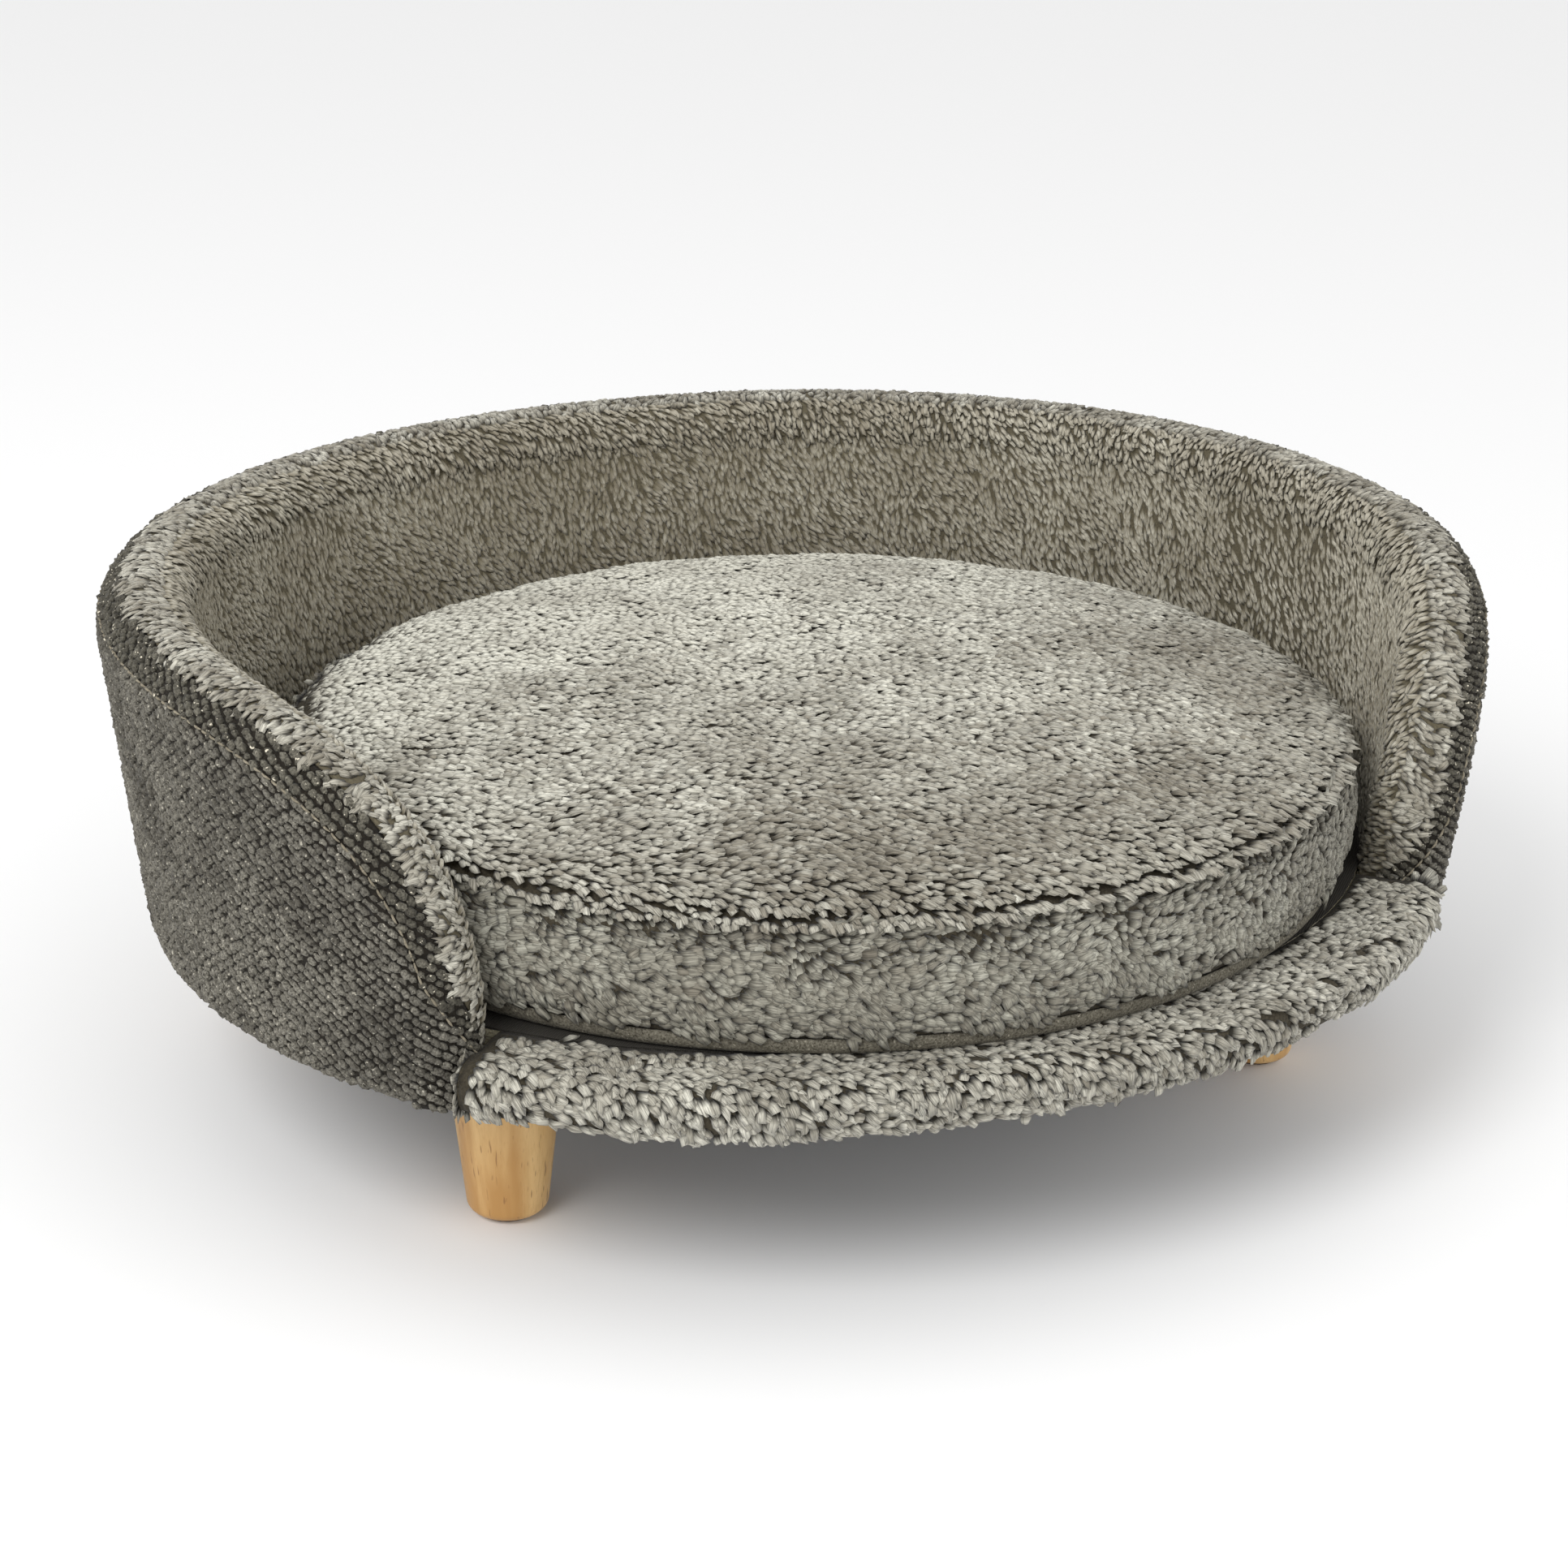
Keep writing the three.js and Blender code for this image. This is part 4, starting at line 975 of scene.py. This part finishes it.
def tube(name, line, radius, sides, material):
    # a closed tube with flat ends along a line of points
    along = unit(np.gradient(line, axis=0))
    across = unit(np.cross(along, np.array([0.13, 0.21, 1.0])))
    other = np.cross(across, along)
    angles = np.linspace(0, 2 * math.pi, sides, endpoint=False)
    rings = np.stack([line + radius * (math.cos(a) * across + math.sin(a) * other) for a in angles], 1)
    quads = gridFaces(len(line), sides, wrap=True)
    loops = np.concatenate([quads.ravel(), np.arange(sides), np.arange(sides)[::-1] + sides * (len(line) - 1)])
    starts = np.concatenate([np.arange(len(quads)) * 4, [len(quads) * 4, len(quads) * 4 + sides]])
    thing = meshObject(name, rings.reshape(-1, 3), loops, starts)
    edit = bmesh.new()
    edit.from_mesh(thing.data)
    bmesh.ops.recalc_face_normals(edit, faces=edit.faces)
    edit.to_mesh(thing.data)
    edit.free()
    thing.data.materials.append(material)
    return thing


# painted shadow: a dark tube sunk in the seam between the woven rim and the plush lining
seamLine, _ = rollPoint(edge, seamAt(edge["z"]) + wall["seamGap"] / rollRadius / 2, rollRadius - 0.0022)
rimSeamShadow = tube("rimSeamShadow", seamLine, 0.0016, 8, materials["backing"])
print("wall lined with plush")

# The apron across the open front

apron = {
    "upperRound": 0.0108,
    "upperCentreOut": 0.0102,
    "pile": {"length": 0.0078, "width": 0.0048, "spread": 0.25, "lift": 0.36, "droop": 0.85, "thick": 0.22,
             "curl": 0.09, "sink": 0.0004, "swing": 32, "swingSize": 0.05, "stray": 17, "seed": 61, "ragged": 0.15,
             "pitch": 0.0034, "mottle": 0.15, "mottleSize": 0.04},
}


def apronSection():
    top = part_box("apron_cover")[1].z
    low, _ = lowerEdge()
    angles = np.linspace(0, math.pi / 2, 9)
    high = [(apron["upperCentreOut"] + apron["upperRound"] * math.cos(a), top - apron["upperRound"] * (1 - math.sin(a)))
            for a in angles]
    inner = [(x, top) for x in np.linspace(apron["upperCentreOut"], -rollRadius + 0.0003, 8)[1:]]
    return inner[::-1] + high[::-1] + low


def apronGrid(turns):
    return np.stack([wallPoint(turns, z, out) for out, z in apronSection()])


footReach = wallPoint(np.array([footTurn + 0.01, footTurn - 0.01]), legTop, 0)
turnPerMetre = 0.02 / np.linalg.norm(footReach[0] - footReach[1])
apronEnd = footTurn - (rollRadius + wall["seamGap"]) * turnPerMetre
apronTurns = np.linspace(-apronEnd, apronEnd, 130)
grid = apronGrid(apronTurns)
# painted shade: the apron's sheet under its tufts is dark, for the shadow between them
apronCover = shellObject("apronCover", [(grid, gridNormals(grid, True), False)], wall["coverThickness"],
                         materials["pileBacking"])


def apronPile():
    look = apron["pile"]
    end = apronEnd - 0.003 * turnPerMetre
    grid = apronGrid(np.linspace(-end, end, 130))[:-5]
    points, normals, along, down, _, j = scatter(grid, look["pitch"], look["pitch"], 62)
    inside = np.sum(normals * (points - np.array([0, planY, 0.11])), -1) < 0
    normals = np.where(inside[:, None], -normals, normals)
    aside = np.clip((0.94 - j) / 0.12, -0.6, 1)[:, None]    # turns back before the right end
    return growPile("apronPile", points, normals, 0.9 * down + aside * along, look, materials["apronPlush"])


def apronEndPieces():
    # closes the apron's two ends, which the round feet of the wall leave in view, and grows plush over them
    section = apronSection()
    look = {**apron["pile"], "length": 0.0066, "seed": 65}
    edit = bmesh.new()
    places, ways, naps = [], [], []
    for side in (-1, 1):
        ring, before = (np.concatenate([wallPoint(np.array([side * turn]), z, out) for out, z in section])
                        for turn in (apronEnd, apronEnd - 0.004 * turnPerMetre))
        away = unit((ring - before).mean(0))
        near, far = ([edit.verts.new(point) for point in ring + away * reach] for reach in (0.0, 0.0009))
        edit.faces.new(near)
        edit.faces.new(far[::-1])
        for k in range(len(ring)):
            edit.faces.new((near[k], near[k - 1], far[k - 1], far[k]))
        centre = ring.mean(0)
        grid = centre + (ring - centre) * np.linspace(0.15, 0.98, 8)[:, None, None] + away * 0.0009
        points, _, _, _, _, _ = scatter(grid, look["pitch"], look["pitch"], 66)
        turn = np.array([side * apronEnd])
        out = (points - wallPoint(turn, centre[2], 0)) @ outwardAt(turn)[0]
        points = points[out > 0.003]
        places.append(points)
        ways.append(np.tile(away, (len(points), 1)))
        naps.append(points - centre + np.array([0, 0, -0.004]))
    bmesh.ops.recalc_face_normals(edit, faces=edit.faces)
    mesh = bpy.data.meshes.new("apronEnds")
    edit.to_mesh(mesh)
    edit.free()
    caps = bpy.data.objects.new("apronEnds", mesh)
    bpy.context.scene.collection.objects.link(caps)
    mesh.materials.append(materials["pileBacking"])
    places, ways, naps = (np.concatenate(parts) for parts in (places, ways, naps))
    return [caps, growPile("apronEndPile", places, ways, naps, look, materials["apronPlush"])]


apronTufts = apronPile()
apronEnds = apronEndPieces()
print("apron made")

# The cushion

cushion = {
    "crown": 0.017,
    "crownPower": 3,
    "boxingSwell": 0.003,
    "seamDepth": 0.004,
    "footRound": 0.006,
    "zipDepth": 0.0048,
    "zipHalfHeight": 0.0092,
    "zipAngle": 23,
    "simGap": 0.0015,         # how far the pad starts inside its final size
    "simCap": 0.004,
    "voxel": 0.005,
    "bulge": 0.008,           # of the stuffed boxing at the front and sides, none by the zip
    "darkPatches": ((0.19, -0.02, 0.075, 0.42), (-0.08, -0.2, 0.055, 0.45),    # place, size and strength of each darker patch
             (-0.145, 0.02, 0.035, 0.25), (0.10, -0.19, 0.05, 0.25)),
    "top": {"length": 0.0080, "width": 0.0045, "spread": 0.25, "lift": 0.38, "droop": 0.75, "thick": 0.24,
            "curl": 0.05, "sink": 0.0004, "swing": 18, "swingSize": 0.09, "stray": 9, "seed": 71, "ragged": 0.14,
            "pitch": 0.0038, "mottle": 0.14, "mottleSize": 0.08},
    "side": {"length": 0.0082, "width": 0.0048, "spread": 0.25, "lift": 0.36, "droop": 0.85, "thick": 0.22,
             "curl": 0.09, "sink": 0.0004, "swing": 28, "swingSize": 0.05, "stray": 16, "seed": 81, "ragged": 0.15,
             "pitch": 0.0034, "mottle": 0.14, "mottleSize": 0.05},
}
low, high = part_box("cushion_boxing")
cushionMiddle = np.array([(low.x + high.x) / 2, (low.y + high.y) / 2, 0])
cushionHalf = (high.x - low.x) / 2
cushionSquash = (high.y - low.y) / (high.x - low.x)
cushionBottom, cushionSeam = low.z, high.z


def boxingRadius(z):
    up = 2 * (np.asarray(z, float) - cushionBottom) / (cushionSeam - cushionBottom) - 1
    return cushionHalf - cushion["boxingSwell"] * np.abs(up) ** 3


def boxingBulge(z, angle):
    up = 2 * (np.asarray(z, float) - cushionBottom) / (cushionSeam - cushionBottom) - 1
    away = np.clip((np.degrees(math.pi - np.abs(angle)) - 27) / 45, 0, 1)    # from the zip
    return cushion["bulge"] * np.clip(1 - up * up, 0, 1) * away * away * (3 - 2 * away)


def onOval(radius, angle, z):
    # an angle of 0 is the front
    radius, angle, z = np.broadcast_arrays(radius, angle, z)
    return np.stack([radius * np.sin(angle), -radius * np.cos(angle) * cushionSquash, z], -1) + cushionMiddle


def domeHeight(radius):
    return cushionSeam + 0.0018 + cushion["crown"] * (1 - np.clip(radius / cushionHalf, 0, 1) ** cushion["crownPower"])


def padProfile(shrink):
    # radius and height from the middle of the top, over the edge and down to the middle of the bottom
    top = np.linspace(0, cushionHalf - 0.002, 26)
    profile = [(r, domeHeight(r) - shrink) for r in top]
    heights = np.linspace(cushionSeam - 0.001, cushionBottom + cushion["footRound"], 12)
    profile += [(float(boxingRadius(z)) - shrink, z) for z in heights]
    edgeRadius = float(boxingRadius(cushionBottom + cushion["footRound"])) - shrink
    for a in np.linspace(0, math.pi / 2, 5)[1:]:
        profile.append((edgeRadius - cushion["footRound"] * (1 - math.cos(a)) - 0.001,
                        cushionBottom + 0.0016 + cushion["footRound"] * (1 - math.sin(a))))
    profile += [(r, cushionBottom + 0.0016) for r in np.linspace(edgeRadius - 0.02, 0, 12)]
    return np.array(profile)


def spunMesh(name, profile, sides, material):
    # a closed form on the cushion's oval plan
    angles = np.linspace(0, 2 * math.pi, sides, endpoint=False)
    inner = profile[1:-1]
    rings = onOval(inner[:, :1], angles[None], inner[:, 1:])
    points = np.concatenate([rings.reshape(-1, 3), onOval(np.zeros(2), np.zeros(2), profile[[0, -1], 1])])
    quads = gridFaces(len(inner), sides, wrap=True)
    first, last = len(points) - 2, len(points) - 1
    k = np.arange(sides)
    caps = np.concatenate([np.stack([np.full(sides, first), k, (k + 1) % sides], -1),
                           np.stack([np.full(sides, last), (k + 1) % sides + sides * (len(inner) - 1),
                                     k + sides * (len(inner) - 1)], -1)])
    loops = np.concatenate([quads.ravel(), caps.ravel()])
    starts = np.concatenate([np.arange(len(quads)) * 4, len(quads) * 4 + np.arange(len(caps)) * 3])
    thing = meshObject(name, points, loops, starts)
    edit = bmesh.new()
    edit.from_mesh(thing.data)
    bmesh.ops.recalc_face_normals(edit, faces=edit.faces)
    edit.to_mesh(thing.data)
    edit.free()
    thing.data.materials.append(material)
    return thing


def meshPoints(thing):
    flat = np.empty(len(thing.data.vertices) * 3, np.float32)
    thing.data.vertices.foreach_get("co", flat)
    return flat.reshape(-1, 3).astype(float)


def setPoints(thing, points):
    thing.data.vertices.foreach_set("co", np.asarray(points, np.float32).ravel())
    thing.data.update()


def applyAll(thing):
    bpy.ops.object.select_all(action="DESELECT")
    thing.select_set(True)
    bpy.context.view_layer.objects.active = thing
    for modifier in list(thing.modifiers):
        bpy.ops.object.modifier_apply(modifier=modifier.name)
    bpy.ops.object.select_all(action="DESELECT")


def swell(thing, voxel, cap):
    # pumps the pad up as a stuffed cloth skin and keeps each point near where it started
    remesh = thing.modifiers.new("even", "REMESH")
    remesh.mode = "VOXEL"
    remesh.voxel_size = voxel
    applyAll(thing)
    before = meshPoints(thing)
    cloth = thing.modifiers.new("cloth", "CLOTH")
    cloth.settings.use_pressure = True
    cloth.settings.uniform_pressure_force = 4
    cloth.settings.quality = 4
    cloth.settings.effector_weights.gravity = 0
    cloth.point_cache.frame_start, cloth.point_cache.frame_end = 1, 20
    scene = bpy.context.scene
    for step in range(1, 21):
        scene.frame_set(step)
    applyAll(thing)
    scene.frame_set(1)
    after = meshPoints(thing)
    moved = after - before
    reach = np.linalg.norm(moved, axis=1, keepdims=True)
    setPoints(thing, before + moved * np.minimum(1, cap / np.maximum(reach, 1e-9)))
    smooth = thing.modifiers.new("fine", "SUBSURF")
    smooth.levels = smooth.render_levels = 1
    applyAll(thing)
    thing.data.polygons.foreach_set("use_smooth", np.full(len(thing.data.polygons), True))


def ovalPlace(points):
    # radius, angle and height of points about the cushion's oval
    local = points - cushionMiddle
    x, y = local[:, 0], local[:, 1] / cushionSquash
    return np.hypot(x, y), np.arctan2(x, -y), points[:, 2]


def carvePad(thing):
    # the seam round the top edge, the flat bottom, and the room behind the zip
    points = meshPoints(thing)
    radius, angle, z = ovalPlace(points)
    dents = 0.0009 * waves(points, 0.07, 90) + 0.0006 * waves(points, 0.03, 91)
    outer = radius > cushionHalf * 0.9
    z = z + np.where(outer, 0, dents)
    radius = radius + np.where(outer, dents * 0.5, 0)
    radius = radius + boxingBulge(z, angle) * np.clip((radius / cushionHalf - 0.8) / 0.18, 0, 1)
    groove = np.exp(-((z - cushionSeam) / 0.0022) ** 2) * outer
    radius = radius - cushion["seamDepth"] * groove
    low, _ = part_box("zip_tape_lower")
    _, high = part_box("zip_tape_upper")
    atBack = np.abs(np.abs(angle) - math.pi) < math.radians(cushion["zipAngle"] + 0.7)
    behind = atBack & (np.abs(z - (low.z + high.z) / 2) < cushion["zipHalfHeight"])
    radius = np.where(behind & outer, np.minimum(radius, boxingRadius(z) - cushion["zipDepth"]), radius)
    z = np.maximum(z, cushionBottom + 0.0012)
    setPoints(thing, onOval(radius, angle, z))


# painted shade: the pad under the cushion's tufts is dark, for the shadow between them
cushionPad = spunMesh("cushionPad", padProfile(cushion["simGap"]), 160, materials["pileBacking"])
swell(cushionPad, cushion["voxel"], cushion["simCap"])
carvePad(cushionPad)
print("cushion pad filled")


def onto(thing, points):
    # moves points to the nearest place on the pad's real surface
    tree = BVHTree.FromPolygons([v.co for v in thing.data.vertices], [p.vertices for p in thing.data.polygons])
    moved = points.copy()
    for k in range(len(points)):
        hit, _, _, _ = tree.find_nearest(Vector(points[k]))
        if hit is not None:
            moved[k] = hit
    return moved


def cushionTopPile():
    look = cushion["top"]
    rng = np.random.default_rng(72)
    pitch = look["pitch"]
    span = cushionHalf + 0.002
    steps = np.arange(-span, span, pitch)
    x, y = np.meshgrid(steps, steps)
    x = x + 0.5 * pitch * (np.arange(len(steps)) % 2)[:, None]
    x, y = (v.ravel() + rng.uniform(-0.42, 0.42, v.size) * pitch for v in (x, y))
    radius = np.hypot(x, y)
    keep = radius < cushionHalf - 0.0022
    x, y, radius = x[keep], y[keep], radius[keep]
    points = np.stack([x, y * cushionSquash, domeHeight(radius)], -1) + [cushionMiddle[0], cushionMiddle[1], 0]
    power = cushion["crownPower"]
    slope = cushion["crown"] * power * (radius / cushionHalf) ** (power - 1) / cushionHalf
    outward = np.stack([x, y, 0 * x], -1) / np.maximum(radius, 1e-6)[:, None]
    normals = unit(outward * slope[:, None] + np.array([0, 0, 1.0]))
    points = onto(cushionPad, points)
    nap = np.tile(np.array([0.86, -0.5, 0.0]), (len(points), 1))
    over = np.clip((radius - cushionHalf + 0.03) / 0.03, 0, 1)[:, None]
    front = np.clip(-y / cushionHalf, 0, 1)[:, None]
    nap = unit(nap * (1 - 0.7 * over) + outward * over * (0.4 + 0.6 * front))
    # painted shade: the top is coloured darker towards the front and the right, where the nap looks darker in the
    # light, and darker again at each listed patch
    toneAndPaintedShade = 0.28 + 0.1 * x / cushionHalf - 0.36 * y / cushionHalf
    for patchX, patchY, size, much in cushion["darkPatches"]:
        toneAndPaintedShade = toneAndPaintedShade + much * np.exp(-((x - patchX) ** 2 + (y - patchY) ** 2) / size ** 2)
    third = np.digitize(x, (-0.085, 0.085))
    pieces = []
    for k, name in enumerate(("cushionTopPileLeft", "cushionTopPileMiddle", "cushionTopPileRight")):
        side = third == k
        pieces.append(growPile(name, points[side], normals[side], nap[side], look, materials["topPlush"], toneAndPaintedShade[side]))
    return pieces


def cushionSidePile():
    look = cushion["side"]
    angles = np.linspace(-math.pi, math.pi, 400)
    heights = np.linspace(cushionSeam + 0.0002, cushionBottom + 0.0105, 14)[:, None]
    grid = onOval(boxingRadius(heights) + boxingBulge(heights, angles[None]), angles[None], heights)
    points, _, along, down, _, _ = scatter(grid, look["pitch"], look["pitch"], 82)
    _, angle, z = ovalPlace(points)
    normals = unit(np.stack([np.sin(angle), -np.cos(angle) / cushionSquash, 0 * z], -1))
    low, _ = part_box("zip_tape_lower")
    _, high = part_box("zip_tape_upper")
    middle = (low.z + high.z) / 2
    zipZone = (np.abs(np.abs(angle) - math.pi) < math.radians(cushion["zipAngle"] + 1)) & (np.abs(z - middle) < 0.0125)
    points, normals, along, down = (v[~zipZone] for v in (points, normals, along, down))
    points = onto(cushionPad, points)
    naps = unit(0.35 * down + along)
    pieces = []
    for side, name in ((points[:, 0] < 0, "cushionSidePileLeft"), (points[:, 0] >= 0, "cushionSidePileRight")):
        pieces.append(growPile(name, points[side], normals[side], naps[side], look, materials["shadedSidePlush"]))
    return pieces


topPile = cushionTopPile()
sidePile = cushionSidePile()


def cushionBase():
    # the woven bottom, turned up round the lower edge
    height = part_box("cushion_bottom_panel")[0].z
    edgeRadius = float(boxingRadius(cushionBottom + cushion["footRound"])) - 0.0006
    rise = cushion["footRound"]
    profile = [(edgeRadius, height + rise + 0.003), (edgeRadius, height + rise)]
    for a in np.linspace(0, math.pi / 2, 5)[1:]:
        profile.append((edgeRadius - rise * (1 - math.cos(a)), height + rise * (1 - math.sin(a))))
    profile += [(r, height) for r in np.linspace(edgeRadius - rise - 0.015, 0.001, 14)]
    profile = np.array(profile)
    angles = np.linspace(0, 2 * math.pi, 180, endpoint=False)
    grid = onOval(profile[:, :1], angles[None], profile[:, 1:])
    way = unit(np.stack([-np.gradient(profile[:, 1]), np.gradient(profile[:, 0])], -1))
    rise = np.broadcast_to(way[:, 1:], (len(profile), 180))
    normals = unit(np.stack([way[:, :1] * np.sin(angles), -way[:, :1] * np.cos(angles), rise], -1))
    return shellObject("cushionBase", [(grid, normals, True)], 0.0010, materials["baseCloth"])


baseCloth = cushionBase()
print("cushion covered with plush")

# Legs and what carries over from the frame

legs = {"footRound": 0.005, "boltHole": 0.0043, "boltDepth": 0.043}


def turnedLeg(node):
    low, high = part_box(node)
    middle = ((low.x + high.x) / 2, (low.y + high.y) / 2, (low.z + high.z) / 2)
    points = np.array([v.co for v in nodes[node].data.vertices]) - np.array(middle)
    foot = points[points[:, 2] < points[:, 2].min() + 0.0055]
    topRadius = (high.x - low.x) / 2
    footRadius = float(np.hypot(foot[:, 0], foot[:, 1]).max())
    bpy.ops.mesh.primitive_cone_add(vertices=72, radius1=footRadius, radius2=topRadius, depth=high.z - low.z,
                                    location=middle)
    leg = bpy.context.object
    leg.name = "beech_" + node
    bpy.ops.object.transform_apply(location=True, rotation=True, scale=True)
    bpy.ops.object.mode_set(mode="EDIT")
    bpy.ops.mesh.select_all(action="DESELECT")
    edit = bmesh.from_edit_mesh(leg.data)
    for line in edit.edges:
        line.select = all(v.co.z < low.z + 1e-5 for v in line.verts)
    edit.select_flush(True)
    bmesh.update_edit_mesh(leg.data)
    bpy.ops.mesh.bevel(offset=legs["footRound"], segments=7, profile=0.5, affect="EDGES")
    bpy.ops.mesh.select_all(action="DESELECT")
    edit = bmesh.from_edit_mesh(leg.data)
    for face in edit.faces:
        face.select = all(v.co.z > high.z - 1e-5 for v in face.verts)
    bmesh.update_edit_mesh(leg.data)
    bpy.ops.mesh.inset(thickness=0.0012, depth=0)
    bpy.ops.mesh.inset(thickness=topRadius - 0.0012 - legs["boltHole"], depth=0)
    bpy.ops.mesh.extrude_region_move(TRANSFORM_OT_translate={"value": (0, 0, -legs["boltDepth"])})
    bpy.ops.mesh.select_all(action="SELECT")
    bpy.ops.mesh.normals_make_consistent(inside=False)
    bpy.ops.object.mode_set(mode="OBJECT")
    bpy.ops.object.shade_smooth_by_angle(angle=math.radians(40))
    leg.select_set(False)
    return leg


woods = {
    "beech": finish("beech", "wood", {"Light": "#deb87c", "Dark": "#b98b4e", "Fleck": "#94683a", "Bands": 46.0,
                                       "Flecks": 0.8}, bump=0.12, reach=0.0004, coat=0.12),
    "plywood": finish("plywood", "wood", {"Light": "#d9ba88", "Dark": "#b98f5a", "Fleck": "#8c6337", "Bands": 90.0,
                                           "Flecks": 0.4}, bump=0.2, reach=0.0005),
    "pine": finish("pine", "wood", {"Light": "#e6cb98", "Dark": "#cfa668", "Fleck": "#a97a43", "Bands": 120.0,
                                     "Flecks": 0.2}, bump=0.2, reach=0.0005),
}
cloths = {
    "dustCloth": finish("dustCloth", "flat", {"Light": "#3a3937", "Dark": "#191817", "Thread Scale": 5200.0},
                        0.95, bump=0.5, reach=0.0003),
    "deckCloth": finish("deckCloth", "flat", {"Light": "#4a4741", "Dark": "#201e1b", "Thread Scale": 4200.0},
                        0.95, bump=0.6, reach=0.0004),
    "zipCloth": finish("zipCloth", "flat", {"Light": "#5b554a", "Dark": "#332e27", "Thread Scale": 7000.0},
                        0.85, bump=0.5, reach=0.0003),
}
others = {
    "steel": finish("steel", "clouded", {"Light": "#c3c5c7", "Dark": "#8d9092", "Cloud Scale": 120.0,
                                         "Pit Scale": 2500.0, "Smooth": 0.28, "Rough": 0.45},
                      metallic=1.0, bump=0.05, reach=0.0002),
    "nickel": finish("nickel", "clouded", {"Light": "#a19c92", "Dark": "#6e6960", "Cloud Scale": 300.0,
                                           "Pit Scale": 3000.0, "Smooth": 0.25, "Rough": 0.42},
                      metallic=1.0, bump=0.05, reach=0.0002),
    "felt": finish("felt", "clouded", {"Light": "#6d6156", "Dark": "#4a4138", "Cloud Scale": 700.0, "Pit Scale": 1800.0,
                                       "Smooth": 0.92, "Rough": 1.0}, bump=0.6, reach=0.0006, sheen=0.2),
    "foam": finish("foam", "clouded", {"Light": "#ece5cb", "Dark": "#d9cfae", "Cloud Scale": 60.0, "Pit Scale": 1100.0,
                                       "Smooth": 0.85, "Rough": 0.95}, bump=0.7, reach=0.0008),
    "wadding": finish("wadding", "clouded", {"Light": "#f0eee8", "Dark": "#dcd9d0", "Cloud Scale": 90.0,
                                             "Pit Scale": 500.0, "Smooth": 0.9, "Rough": 1.0}, bump=0.5, reach=0.001),
    "zipNylon": finish("zipNylon", "clouded", {"Light": "#4d483f", "Dark": "#35312a", "Cloud Scale": 500.0,
                                               "Pit Scale": 2200.0, "Smooth": 0.4, "Rough": 0.6},
                      bump=0.2, reach=0.0003),
}
carried = {
    "base_board": woods["plywood"], "wall_shell": woods["plywood"], "deck_foam": others["foam"],
    "deck_cloth": cloths["deckCloth"], "apron_foam": others["foam"], "wall_foam": others["foam"],
    "rim_roll_foam": others["foam"], "outer_wadding": others["wadding"], "dust_cover": cloths["dustCloth"],
    "zip_tape_upper": cloths["zipCloth"], "zip_tape_lower": cloths["zipCloth"], "zip_coil_upper": others["zipNylon"],
    "zip_coil_lower": others["zipNylon"], "zip_stop_left": others["nickel"], "zip_stop_right": others["nickel"],
    "zip_slider": others["nickel"], "zip_puller": others["nickel"],
}
for name, thing in nodes.items():
    for start, material in (("batten_screw", others["steel"]), ("batten_", woods["pine"]),
                            ("leg_bolt", others["steel"]), ("tee_nut", others["steel"]), ("glide_", others["felt"])):
        if name.startswith(start) and name not in carried:
            carried[name] = material
    if name in carried:
        thing.data.materials.clear()
        thing.data.materials.append(carried[name])

for end in ("front", "back"):
    for side in ("left", "right"):
        node = f"leg_{end}_{side}"
        leg = turnedLeg(node)
        leg.data.materials.clear()
        leg.data.materials.append(woods["beech"])
        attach(leg, "frame")
        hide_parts(node)
print("legs turned")

# What each piece rides on and stands for

for thing in [outerCover, *coverWeave, topstitch, wallLining, *wallPile, rimSeamShadow, apronCover, apronTufts, *apronEnds]:
    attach(thing, "frame")
for thing in [cushionPad, *topPile, *sidePile, baseCloth]:
    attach(thing, "cushion")
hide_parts("outer_cover")
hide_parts("wall_lining")
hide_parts("apron_cover")
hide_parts("cushion_core", "cushion_top_panel", "cushion_boxing")
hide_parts("cushion_bottom_panel")

print("pieces declared")
